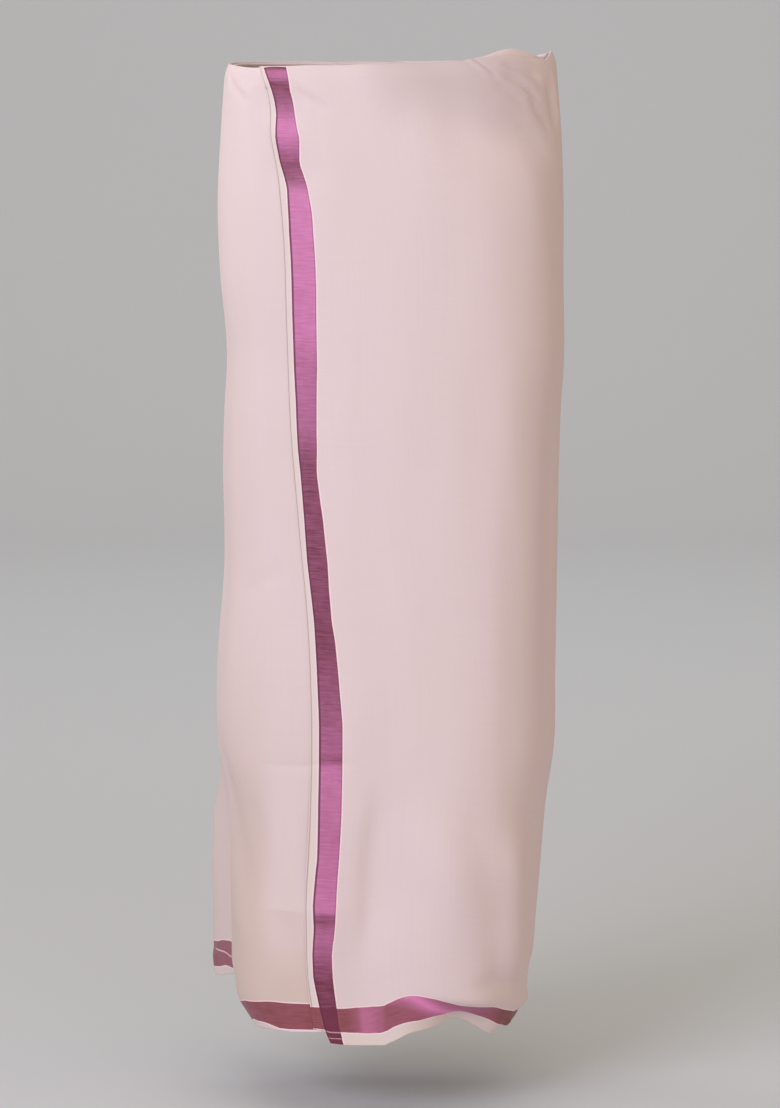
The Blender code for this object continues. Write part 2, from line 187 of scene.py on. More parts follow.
SOFT, CRISP, STEP = Profile
NEAR_END, FAR_END = (True, False), (False, True)     # the end of its path where a crease dies out


class Crease(NamedTuple):
    """A crease of one layer along a path of places on it, out from the cloth if its rise is positive."""

    name: str
    path: tuple[tuple[float, float], ...]
    rise: float
    width: float
    profile: Profile = SOFT
    fades: tuple[bool, bool] = (True, True)


CREASES = fine_table(Crease, (
    # at the waist, over the wearer's left hip, where the wrap is pulled tight
    ("pinch", ((235.5, 1012), (240, 1003.5), (247.5, 994)), 1.7, 2.2, CRISP, FAR_END),
    ("beside_pinch", ((241.5, 1012), (247, 1003), (256, 992)), -1.4, 3.4, SOFT, FAR_END),
    ("before_pinch", ((228, 1010), (233, 1000), (240, 988)), -0.8, 4.5, SOFT, FAR_END),
    ("waist_hollow", ((260, 1005.5), (288, 1004), (320, 1004)), -3, 6),
    ("waist_lip", ((248, 1012.8), (280, 1014.6), (316, 1016.6)), 0.8, 2),
    ("waist_pull_1", ((254, 998.5), (280, 990.5), (308, 977)), -2.6, 5.2),
    ("waist_pull_2", ((256, 1003), (284, 997), (312, 988)), 1, 3.6),
    ("waist_pull_3", ((242, 990), (262, 980), (288, 964)), -1.3, 7),
    ("waist_pull_4", ((282, 979), (300, 964), (318, 948)), -2, 5.2),
    ("waist_pull_5", ((246, 970), (272, 948), (306, 924)), -1, 11),
    ("side_roll", ((342, 1006), (339, 985), (337, 948)), 2.2, 5.6, SOFT, FAR_END),
    ("beside_side_roll", ((325, 1006), (324, 985), (323, 948)), -2.2, 6),
    ("hip_dent", ((150, 928), (225, 930), (322, 936)), -5.5, 34),
    # beside the end band at the waist
    ("band_shoulder", ((31, 985), (39, 975), (54, 968), (72, 954)), -1.8, 4.6),
    ("beside_shoulder", ((36, 993), (50, 982), (68, 971)), 0.9, 5),
    ("band_crease_1", ((9, 978), (19, 977), (30, 979)), -0.7, 1.8, CRISP),
    ("band_crease_2", ((16, 962), (24, 963), (32, 964)), 0.7, 1.8, CRISP),
    ("band_wave_1", ((-4, 966), (20, 966), (50, 964)), -2.2, 17, SOFT, FAR_END),
    ("band_wave_2", ((-4, 932), (20, 932), (50, 934)), 2, 15, SOFT, FAR_END),
    ("band_wave_3", ((-4, 897), (20, 897), (60, 900)), -2, 17, SOFT, FAR_END),
    # where the folded cloth was pressed, one fold every 150 mm
    ("pressed_1_flap", ((-2, 139), (40, 137.2)), 1.2, 10, CRISP, FAR_END),
    ("pressed_1_line", ((-2, 138.6), (46, 136.8)), -0.6, 1.6, CRISP, FAR_END),
    ("pressed_1_under", ((940, 137.5), (1000, 138.9)), 3, 26, CRISP, NEAR_END),
    ("pressed_2_flap", ((-2, 290), (44, 294.8)), -1.2, 10, CRISP, FAR_END),
    ("pressed_2_line", ((-2, 290.4), (52, 295.2)), -0.7, 1.6, CRISP, FAR_END),
    ("pressed_2_under", ((936, 288.4), (1000, 289.9)), -1.2, 10, CRISP, NEAR_END),
    ("pressed_2_under_line", ((946, 288.6), (1000, 290.2)), -0.5, 1.6, CRISP, NEAR_END),
    ("pressed_3_front", ((58, 544), (118, 530)), -0.5, 5, CRISP),
    ("pressed_4_under", ((948, 602.5), (990, 611)), -0.7, 4, CRISP, NEAR_END),
    # down the front
    ("between_the_shins", ((58, 285), (54, 185), (52, 80)), -8.8, 9, STEP),
    ("shin_ridge", ((86, 252), (130, 160), (196, 72)), 1.8, 24),
    ("above_shin_ridge", ((130, 262), (180, 178), (236, 108)), -1.6, 22),
    ("beside_left_foot", ((152, 54), (196, 62), (262, 66)), -3, 11),
    ("front_line", ((78, 762), (76, 690), (74, 622)), -0.6, 7),
    ("left_thigh", ((238, 880), (226, 640), (214, 420)), 1.2, 40),
    ("shin_edge", ((212, 640), (204, 515), (193, 410), (187, 306), (192, 205),
                  (194, 160)), -4.6, 12.5, STEP),
    ("shin_edge_low", ((212, 240), (216, 160), (220, 90), (222, 40)), 6.6, 23),
    ("left_thigh_fall", ((290, 800), (282, 560), (270, 300)), -1.6, 30),
    ("left_hem_corner", ((232, 37), (258, 34), (292, 37)), 2, 10),
    ("left_hem_corner_low", ((214, 17), (244, 14), (276, 17)), 8.8, 10.5),
    ("above_left_corner", ((262, 54), (290, 57), (335, 54)), -8.5, 16.5),
    # the panel under the flap
    ("hip_trough", ((920, 1009), (932, 995), (944, 985), (958, 969)), -1.8, 3.6),
    ("hip_ridge", ((941, 997), (951, 987), (963, 976)), 1.1, 4.2),
    ("hip_ridge_2", ((911, 1007), (917, 998), (924, 984)), 1, 4.8),
    ("hip_hollow", ((961, 1005), (967, 986)), -1.4, 7.5),
    ("under_mid", ((900, 466), (934, 474), (974, 494)), -1.3, 7.5),
    ("knee_pull", ((896, 300), (914, 250), (931, 212), (950, 160), (965, 120), (998, 40)), -3, 15),
    ("under_fall", ((966, 480), (962, 400), (960, 316)), -0.9, 15),
    ("shin_pull", ((872, 205), (890, 140), (930, 86)), 1.4, 14),
    ("panel_corner", ((864, 80), (868, 38), (872, 2)), -3.2, 18, SOFT, NEAR_END),
    # round the back, in the shade
    ("rear_flare_top", ((722, 260), (726, 200), (730, 150)), 7, 18),
    ("rear_flare_corner", ((730, 30), (723, -4)), 3, 10, SOFT, NEAR_END),
    ("seat_smile_left", ((470, 690), (520, 668), (580, 676)), -2.6, 12),
    ("seat_smile_right", ((590, 662), (640, 650), (700, 682)), -2.2, 13),
    ("under_seat_left", ((452, 640), (500, 615), (556, 622)), 1.8, 13),
    ("behind_left_knee", ((440, 372), (486, 342), (540, 356)), -3, 13),
    ("behind_left_knee_2", ((452, 330), (500, 300), (548, 318)), -2, 11),
    ("behind_right_knee_1", ((620, 348), (662, 322), (716, 342)), -2.6, 12),
    ("behind_right_knee_2", ((612, 300), (660, 282), (700, 296)), 1.8, 11),
    ("rear_waist_pull_1", ((462, 1004), (474, 940), (500, 868)), -2, 9, SOFT, FAR_END),
    ("rear_waist_pull_2", ((520, 1004), (526, 950), (540, 900)), -1.6, 8, SOFT, FAR_END),
    ("rear_waist_pull_3", ((648, 1004), (640, 936), (620, 872)), -2, 9, SOFT, FAR_END),
    ("rear_waist_pull_4", ((716, 1004), (706, 956), (690, 910)), -1.5, 7, SOFT, FAR_END),
    ("left_side_pull", ((392, 960), (410, 900), (440, 820)), -1.8, 11),
    ("rear_fall_1", ((500, 560), (506, 400), (500, 240)), 1.8, 13),
    ("rear_fall_2", ((600, 520), (592, 300), (584, 60)), 2, 14, SOFT, NEAR_END),
    ("rear_fall_3", ((664, 420), (668, 240), (672, 40)), -2.2, 13, SOFT, NEAR_END),
    ("side_fall_1", ((404, 620), (396, 420), (392, 180)), -1.8, 16),
    ("side_fall_2", ((352, 330), (360, 200), (366, 60)), 2.2, 15, SOFT, NEAR_END),
    ("right_side_fall", ((800, 820), (806, 620), (800, 420)), -1.4, 18),
))


# ---- tables of the woven borders: edges in millimetres, the satin's painted sheen and shade in metres ---
class BandEdges(NamedTuple):
    """Where the end band's edges lie along the cloth at one height, as it is pulled in and out."""

    up: float
    first: float
    second: float


class HemEdges(NamedTuple):
    """Where the hem and its band's edges lie up the cloth, at one place along it."""

    along: float
    hem: float
    low: float
    high: float


class Tone(NamedTuple):
    """The satin's painted sheen at one place of a band: 0 is painted shade, 1 is full painted sheen."""

    at: float
    light: float


END_BAND_EDGES = fine_table(BandEdges, (
    (1010, 5, 35.2), (980, 7, 28.2), (955, 8.5, 29.2), (931, 6, 32.2), (906, 5.8, 26.8), (882, 10.4, 31.8),
    (857, 8.9, 33.4), (833, 7.6, 32.6), (780, 8, 33), (700, 8, 32), (664, 8.6, 30), (615, 7.6, 27),
    (590, 8.2, 24.6), (540, 7.7, 27), (500, 6.4, 27.2), (470, 7, 25.8), (440, 8, 25.6), (418, 8, 27.6),
    (370, 8.1, 29.5), (335, 8.6, 31.4), (295, 8.4, 31), (244, 8.8, 31.3), (194, 10.1, 30.5), (145, 7.8, 29),
    (120, 8.6, 27.9), (94, 6.6, 24.6), (70, 6.2, 24.4), (40, 8.8, 25), (15, 11.5, 26.2), (0, 15, 28.5),
))
HEM_EDGES = fine_table(HemEdges, (
    (0, 15, 16, 38.4), (11.5, 14, 15, 38.2), (15.5, 1, 13, 37.4), (30, -0.5, 12.8, 37.4),
    (44, -1.6, 11.6, 38.2), (52, -2.8, 9.7, 37.5), (60, -4.8, 8, 36.2), (67, -7, 6, 34.2),
    (71.5, -8.3, 6.2, 33.5), (75, -7, 6.6, 34.5), (82, -6.6, 8.8, 35.6), (86, -6.2, 8.2, 36.6),
    (98, -3.5, 8.6, 37), (106, -2.6, 9.2, 37.2), (122, 0, 13.6, 37.2), (136, 1.2, 14, 35.3),
    (150, 1.4, 15.2, 33), (166, 2, 16, 33.1), (192, 2, 17.5, 34), (212, 0, 14, 32.2), (234, 0, 12, 29.2),
    (256, 0, 11.5, 28.8), (286, 0, 11.5, 36.5), (700, 0, 11.5, 36.5), (724, 0, 9, 36.2),
    (744, 0, 10.3, 38.4), (762, 0, 9.8, 37.4), (778, 0, 8.4, 37.4), (796, 4, 14.6, 47.2),
    (808, 9.5, 22.5, 54.5), (835, 6, 17.5, 44.5), (860, 0, 11, 37.5), (886, 0, 13.5, 38),
    (905, 0, 18.5, 39.6), (930, 6, 16.5, 38.8), (948, 9.5, 12.5, 40.4), (972, 11.2, 13.8, 41.2),
    (1000, 11.8, 14.6, 41.5), (1030, 4, 13, 38), (1060, 0, 11.5, 36.5),
))
# painted sheen and painted shade of the satin, light where its floats face the light and dark where they
# turn away; the last table is a painted highlight slanting across the hem band
END_BAND_PAINTED_SHEEN = table(Tone, (
    (0.034, 0), (0.068, 0.01), (0.085, 0.3), (0.098, 0.54), (0.11, 0.68), (0.121, 0.56), (0.128, 0.26),
    (0.136, 0.34), (0.1378, 0.9), (0.17, 0.84), (0.215, 0.73), (0.284, 0.88), (0.2915, 0.72),
    (0.2945, 0.26), (0.306, 0.5), (0.358, 0.29), (0.42, 0.06), (0.6, 0.12), (0.64, 0.56), (0.7, 0.64),
    (0.735, 0.98), (0.876, 1.02), (0.888, 0.34), (0.906, 0.18), (0.922, 0.66), (0.94, 1.06), (0.95, 0.88),
    (0.966, 0.38), (0.986, 0.02), (0.9945, 0.78), (0.9996, 0.6), (1.0004, -0.28),
))
HEM_BAND_PAINTED_SHEEN = table(Tone, (
    (0, 0.02), (0.04, 0.06), (0.048, 0.22), (0.053, 0.66), (0.06, 0.52), (0.071, 0.3), (0.0722, 0.14),
    (0.096, 0.22), (0.124, 0.44), (0.15, 0.52), (0.166, 0.44), (0.184, 0.28), (0.2, 0.08), (0.216, -0.12),
    (0.3, 0.1), (0.7, 0.06), (0.78, 0.14), (0.9, 0.04),
))
HEM_PAINTED_HIGHLIGHT = table(Tone, (
    (0.094, 0), (0.106, 0.34), (0.118, 0.98), (0.124, 0.92), (0.134, 0.4), (0.15, 0),
))
TONE_REACH = 1.04         # metres, a little more than the highest place in a table of tones
TONE_FLOOR = -0.30        # the lightness that a ramp's black stands for
TONE_SPAN = 2.00


def smoothstep(value: Array | float) -> Array:
    """0 below 0, 1 above 1, and a smooth rise between."""
    share = np.clip(value, 0.0, 1.0)
    return share * share * (3.0 - 2.0 * share)


def curve_through(at: Array, knots: Sequence[float], values: Sequence[float]) -> Array:
    """A smooth curve through a table's column, as a cubic Hermite spline.

    Args:
        at: where the curve is read.
        knots: the places of the table's rows, in any order.
        values: the column's values there.

    Returns:
        The curve's value at each place.
    """
    order = np.argsort(knots)
    knots, values = np.asarray(knots, float)[order], np.asarray(values, float)[order]
    slopes = np.gradient(values, knots)
    at = np.clip(at, knots[0], knots[-1])
    left = np.clip(np.searchsorted(knots, at) - 1, 0, len(knots) - 2)
    span = knots[left + 1] - knots[left]
    u = (at - knots[left]) / span
    return (values[left] * (1 + 2 * u) * (1 - u) ** 2
            + slopes[left] * span * u * (1 - u) ** 2
            + values[left + 1] * (3 - 2 * u) * u ** 2
            - slopes[left + 1] * span * (1 - u) * u ** 2)


def column(rows: Sequence[NamedTuple], name: str) -> list[float]:
    """One named column of a table."""
    return [getattr(row, name) for row in rows]


def unit(vectors: Array) -> Array:
    """The same directions, one metre long."""
    return vectors / np.linalg.norm(vectors, axis=-1, keepdims=True)


@dataclass(frozen=True)
class WornForm:
    """The shape in which the cloth is worn: the body's sections, folds, rolled waist and curled hem."""

    turn_pitch: float = 0.0026        # how far a whole turn lies inside the one before it
    inner_slack: float = 0.0015
    inner_ridges: float = 0.72        # share of an outward fold that the first turn follows
    curl_height: float = 0.046
    curl_blend: float = 0.014
    edge_blend: float = 0.006
    curl_steps: int = 32
    waist_lean: float = 0.0040
    waist_lean_height: float = 0.018
    waist_lean_reach: float = 1.5     # heights over which the lean keeps growing
    fold_radius: float = 0.155        # turns a fold's angles into a length
    folds_ease: float = 0.20          # shares of a turn over which the first turn comes free
    depth_ease: float = 0.25
    hem_ease: float = 0.12
    peep_ease: float = 0.10
    peep_delay: float = 0.02

    def section(self, z: Array, name: str) -> Array:
        """One column of the section table, at each height z."""
        return curve_through(z, column(SECTIONS, "z"), column(SECTIONS, name))

    def rim(self, angle: Array, name: str) -> Array:
        """One column of the rim table, all round: the table is repeated on both sides to close it."""
        turns = [(row.angle + 360 * turn, getattr(row, name)) for turn in (-1, 0, 1) for row in RIMS]
        wrapped = (np.asarray(angle) + 180.0) % 360.0 - 180.0
        return curve_through(wrapped, [turn[0] for turn in turns], [turn[1] for turn in turns])

    def ring(self, angle: Array, z: Array) -> tuple[Array, Array, Array, Array]:
        """A point of the section and the direction out of it, in plan: x, y, out x and out y."""
        a = np.radians(angle)
        square = self.section(z, "squareness")
        front, back = self.section(z, "front"), self.section(z, "back")
        half_width = self.section(z, "half_width") / (1 - square)
        half_depth = (front + back) / 2 / (1 - square)
        x = self.section(z, "centre_x") + half_width * (np.sin(a) + square * np.sin(3 * a))
        y = (back - front) / 2 - half_depth * (np.cos(a) - square * np.cos(3 * a))
        along_x = half_width * (np.cos(a) + 3 * square * np.cos(3 * a))
        along_y = half_depth * (np.sin(a) - 3 * square * np.sin(3 * a))
        length = np.hypot(along_x, along_y)
        return x, y, along_y / length, -along_x / length

    def fold_rise(self, angle: Array, z: Array, turn: Array) -> Array:
        """How far the large folds move the cloth out, at each place of a turn."""
        inner = smoothstep((turn - 1.0) / self.folds_ease)
        total = np.zeros_like(z)
        for fold in FOLDS:
            down = np.clip((fold.top_z - z) / (fold.top_z - fold.low_z), 0.0, 1.0)
            centre = fold.top_angle + (fold.low_angle - fold.top_angle) * down
            apart = (angle - centre + 180.0) % 360.0 - 180.0
            across = np.abs(np.radians(apart)) * self.fold_radius / fold.width
            reach = smoothstep((fold.top_z - z) / fold.fade)
            if not fold.open:
                reach = reach * smoothstep((z - fold.low_z) / fold.fade)
            follows = 1.0 - (1.0 - self.inner_ridges) * inner if fold.rise > 0 else 1.0
            total = total + fold.rise * follows * reach * np.exp(-across ** fold.sharp)
        return total

    def hem_curl(self, from_hem: Array, angle: Array) -> tuple[Array, Array]:
        """How far the hem's curl takes the cloth in, and how much height that costs it."""
        band_slope, edge_slope = (np.radians(self.rim(angle, name)) for name in ("curl", "edge"))
        along = (self.curl_height - np.clip(from_hem, 0.0, self.curl_height)) / self.curl_steps
        inwards, raised = np.zeros_like(along), np.zeros_like(along)
        for step in range(self.curl_steps):
            reached = along * (step + 0.5)
            at_edge = smoothstep((SELVEDGE - self.curl_height + reached) / self.edge_blend)
            slope = band_slope * smoothstep(reached / self.curl_blend) * (1 - at_edge)
            slope = slope + edge_slope * at_edge
            inwards = inwards + along * np.sin(slope)
            raised = raised + along * (1 - np.cos(slope))
        return inwards, raised

    def waist_height(self, angle: Array, turn: Array) -> Array:
        """The height of the rolled waist, of the outer turn and then of the first one."""
        freed = smoothstep((turn - 1.0 - self.peep_delay) / self.peep_ease)
        return self.rim(angle, "waist_z") + self.rim(angle, "peep") * freed

    def hem_height(self, angle: Array, turn: Array) -> Array:
        """The height at which the cloth would end if its hem hung straight."""
        return self.rim(angle, "hem_z") + INNER_HEM_LIFT * smoothstep((turn - 1.0) / self.hem_ease)

    def drop(self, angle: Array, turn: Array) -> Array:
        """The length of cloth from the rolled waist to the hem."""
        return self.waist_height(angle, turn) - self.hem_height(angle, turn)

    def drape(self, angle: Array, turn: Array, below_waist: Array) -> Array:
        """The worn form itself: the outer face's points, before the turns are laid in each other."""
        straight = self.waist_height(angle, turn) - below_waist
        x, y, out_x, out_y = self.ring(angle, straight)
        inwards, raised = self.hem_curl(straight - self.rim(angle, "hem_z"), angle)
        above = 1 - (self.rim(angle, "waist_z") - straight) / self.waist_lean_height
        leaning = self.waist_lean * np.clip(above, 0.0, self.waist_lean_reach) ** 2
        move = self.fold_rise(angle, straight, turn) - inwards - leaning
        return np.stack((x + out_x * move, y + out_y * move, straight + raised), axis=-1)

    def depth(self, turn: Array) -> Array:
        """How deep a place of the cloth lies inside the outer face."""
        return self.turn_pitch * turn + self.inner_slack * smoothstep((turn - 1.0) / self.depth_ease)

    def cloth_point(self, angle: Array, turn: Array, below_waist: Array,
                    deeper: Array | float = 0.0) -> tuple[Array, Array, Array]:
        """A place of the wound cloth.

        Args:
            angle: degrees round the body.
            turn: whole and part turns from the free edge.
            below_waist: length of cloth down from the rolled waist.
            deeper: how much further in than its turn the cloth lies there.

        Returns:
            The middle of the cloth's wall, the direction out of it and the direction up along it.
        """
        def slope(step_angle: float, step_up: float) -> Array:
            """The difference between the worn form's points on both sides of the place."""
            plus = self.drape(angle + step_angle, turn, below_waist - step_up)
            return plus - self.drape(angle - step_angle, turn, below_waist + step_up)

        up = unit(slope(0.0, SLOPE_STEP))
        out = unit(np.cross(slope(np.degrees(SLOPE_STEP / self.fold_radius), 0.0), up))
        depth = np.asarray(self.depth(turn) + deeper)
        return self.drape(angle, turn, below_waist) - out * depth[..., None], out, up


@dataclass(frozen=True)
class Winding:
    """How places along the cloth are spread round the body, from the free edge inwards."""

    form: WornForm
    turns_sampled: int = 3
    samples_per_turn: int = 360
    edge_angles: tuple[float, float, int] = (-80.0, -10.0, 281)   # where the free edge is looked for

    def start_angle(self, below_waist_of: RowRule) -> float:
        """The angle of the flap's free edge in one row, from its place as seen from the front."""
        angles = np.linspace(*self.edge_angles)
        outermost = np.zeros_like(angles)
        point = self.form.drape(angles, outermost, below_waist_of(angles, outermost))
        edge_x = curve_through(point[:, 2], column(FREE_EDGE, "z"), column(FREE_EDGE, "x"))
        return float(np.interp(0.0, point[:, 0] - edge_x, angles))

    def angles_along(self, distances: Array, below_waist_of: RowRule) -> tuple[Array, Array]:
        """The angle and turn of each distance along the cloth, in one row.

        Args:
            distances: lengths along the cloth from the free edge.
            below_waist_of: the row, as its length below the waist at each angle and turn.

        Returns:
            The angles and the turns. Within a turn they are spread by true length, and every row
            closes its turn at the same distance, so upright threads stay upright.
        """
        start = self.start_angle(below_waist_of)
        turn = np.linspace(0.0, self.turns_sampled, self.turns_sampled * self.samples_per_turn + 1)
        angle = start + 360.0 * turn
        points, _, _ = self.form.cloth_point(angle, turn, below_waist_of(angle, turn))
        lengths = np.linalg.norm(np.diff(points, axis=0), axis=1)
        run = np.concatenate(([0.0], np.cumsum(lengths)))
        whole_turns = run[::self.samples_per_turn]
        turns_run = np.interp(run, whole_turns, np.arange(len(whole_turns)))
        turns = np.interp(np.asarray(distances) / TURN_LENGTH, turns_run, turn)
        return start + 360.0 * turns, turns


@dataclass(frozen=True)
class Creasing:
    """The fine creases and the slight unevenness of the cloth, on top of its large folds."""

    fade_share: float = 0.32          # of a crease's length, where an end dies out
    edge_softness: float = 0.0012     # rounds a pressed edge
    step_reach: float = 6.0           # widths over which the cloth beside a step settles again
    waves: int = 22
    wave_height: float = 0.00060
    waves_along: tuple[float, float] = (0.05, 0.16)   # shortest and longest
    waves_up: tuple[float, float] = (0.14, 0.50)
    seed: int = 11
    give_way: float = 0.030           # length over which a covered place starts to follow its cover
    lift_way: float = 0.118

    def crease_rise(self, crease: Crease, along: Array, up: Array) -> Array:
        """How far one crease moves the cloth out.

        Args:
            crease: the crease.
            along: length along the cloth of each place.
            up: length up the cloth from the hem of each place.

        Returns:
            The move at each place, in metres.
        """
        path = np.asarray(crease.path, float)
        spans = np.diff(path, axis=0)
        lengths = np.linalg.norm(spans, axis=1)
        starts = np.concatenate(([0.0], np.cumsum(lengths)))
        nearest = np.full(along.shape, np.inf)
        side, run = np.zeros_like(along), np.zeros_like(along)
        for corner, span, length, start in zip(path, spans, lengths, starts):
            away_x, away_y = along - corner[0], up - corner[1]
            share = np.clip((away_x * span[0] + away_y * span[1]) / length ** 2, 0.0, 1.0)
            distance = np.hypot(away_x - share * span[0], away_y - share * span[1])
            closer = distance < nearest
            nearest = np.where(closer, distance, nearest)
            side = np.where(closer, np.sign(span[0] * away_y - span[1] * away_x), side)
            run = np.where(closer, (start + share * length) / starts[-1], run)
        reach = np.ones_like(run)
        for fades, from_end in zip(crease.fades, (run, 1.0 - run)):
            if fades:
                reach = reach * smoothstep(from_end / self.fade_share)
        across = nearest / crease.width
        if crease.profile is SOFT:
            shape = np.exp(-across ** 2)
        elif crease.profile is CRISP:
            shape = np.exp(-np.hypot(across, self.edge_softness / crease.width))
        else:
            shape = 0.5 * np.tanh(side * across) * np.exp(-(across / self.step_reach) ** 2)
        return crease.rise * reach * shape

    def unevenness(self, along: Array, up: Array) -> Array:
        """A slight random waviness, longer up the cloth than along it."""
        chance = np.random.RandomState(self.seed)
        total = np.zeros_like(along)
        for _ in range(self.waves):
            width, height = chance.uniform(*self.waves_along), chance.uniform(*self.waves_up)
            lean, phase = chance.uniform(-1.0, 1.0), chance.uniform(0.0, math.tau)
            total = total + np.sin(math.tau * (along / width + lean * up / height) + phase)
        return total * self.wave_height / math.sqrt(self.waves)

    def own_rise(self, along: Array, up: Array) -> Array:
        """How far the creases of the place itself move the cloth out."""
        return sum(self.crease_rise(crease, along, up) for crease in CREASES)

    def rise(self, along: Array, up: Array) -> Array:
        """How far all of it moves the cloth out, at each place.

        A place that another turn covers takes that turn's waviness and gives way to its troughs, so
        the two never cut each other.
        """
        outside = along - TURN_LENGTH
        near = smoothstep(outside / self.give_way + 1.0)
        waves = self.unevenness(along, up) * (1.0 - near) + self.unevenness(outside, up) * near
        lift = INNER_HEM_LIFT * smoothstep(outside / self.lift_way)
        own, cover = self.own_rise(along, up), self.own_rise(outside, up + lift)
        return waves + own + near * np.minimum(cover - own, 0.0)


@dataclass(frozen=True)
class Borders:
    """The cloth's woven bands: where they lie, and where each of their edges is drawn."""

    cloth_length: float = 2.0
    cloth_width: float = 1.27
    band_top: float = 0.0365
    end_margin: float = 0.0090
    end_band_top: float = 0.0320
    settled: float = 0.070            # past this, places along and up the cloth are true lengths
    edge_yarns: float = 0.0013        # width of the pale yarns beside a band
    first_yarns: float = 1.6          # of the dark yarns at a band's first edge, in those widths
    last_yarns: float = 0.9
    last_yarns_dark: float = 0.35     # as a share of the first ones
    fleck_row: tuple[float, float] = (0.35, 0.42)     # shares of the selvedge
    # where the painted shadow along the cut end lies, and its width
    end_line: float = 0.0009
    painted_edge_shadow_width: float = 0.0012
    loose_from: tuple[float, float] = (0.738, 0.0291)  # ends of the yarn across the rear hem
    loose_to: tuple[float, float] = (0.808, 0.0198)
    loose_width: float = 0.0016
    waist_fold: float = 1.0034        # up the cloth, where its reverse starts to show at the roll

    @staticmethod
    def edge(at: Array, rows: Sequence[NamedTuple], name: str) -> Array:
        """One edge of a band, read from its table, whose first column is the place."""
        rows = sorted(rows)
        return np.interp(at, [row[0] for row in rows], column(rows, name))

    def trim(self, along: Array) -> Array:
        """The height of the hem itself, up the cloth."""
        return self.edge(along, HEM_EDGES, "hem")

    def woven_along(self, along: Array, up: Array) -> Array:
        """Lengths along the cloth as woven, so that the end band runs between its drawn edges."""
        first, second = (self.edge(up, END_BAND_EDGES, name) for name in ("first", "second"))
        drawn = (np.zeros_like(first), first, second, np.full_like(first, self.settled))
        return self.between(along, drawn, (0.0, self.end_margin, self.end_band_top, self.settled))

    def woven_up(self, along: Array, up: Array) -> Array:
        """Lengths up the cloth as woven, so that the hem band runs between its drawn edges."""
        low, high = (self.edge(along, HEM_EDGES, name) for name in ("low", "high"))
        drawn = (low - SELVEDGE, low, high, np.full_like(low, self.settled))
        return self.between(up, drawn, (0.0, SELVEDGE, self.band_top, self.settled))

    @staticmethod
    def between(at: Array, drawn: Sequence[Array], woven: Sequence[float]) -> Array:
        """Lengths moved so that each drawn edge falls on its woven place, with straight runs between."""
        result = np.where(at > drawn[-1], at, at - drawn[0])
        for low, high, woven_low, woven_high in zip(drawn, drawn[1:], woven, woven[1:]):
            share = (at - low) / (high - low)
            inside = (at >= low) & (at <= high)
            result = np.where(inside, woven_low + share * (woven_high - woven_low), result)
        return result


class ClothSurface(NamedTuple):
    """A sheet of places on the cloth: rows from its turned-in end, over the waist, down to its hem."""

    points: Array
    along: Array
    up: Array


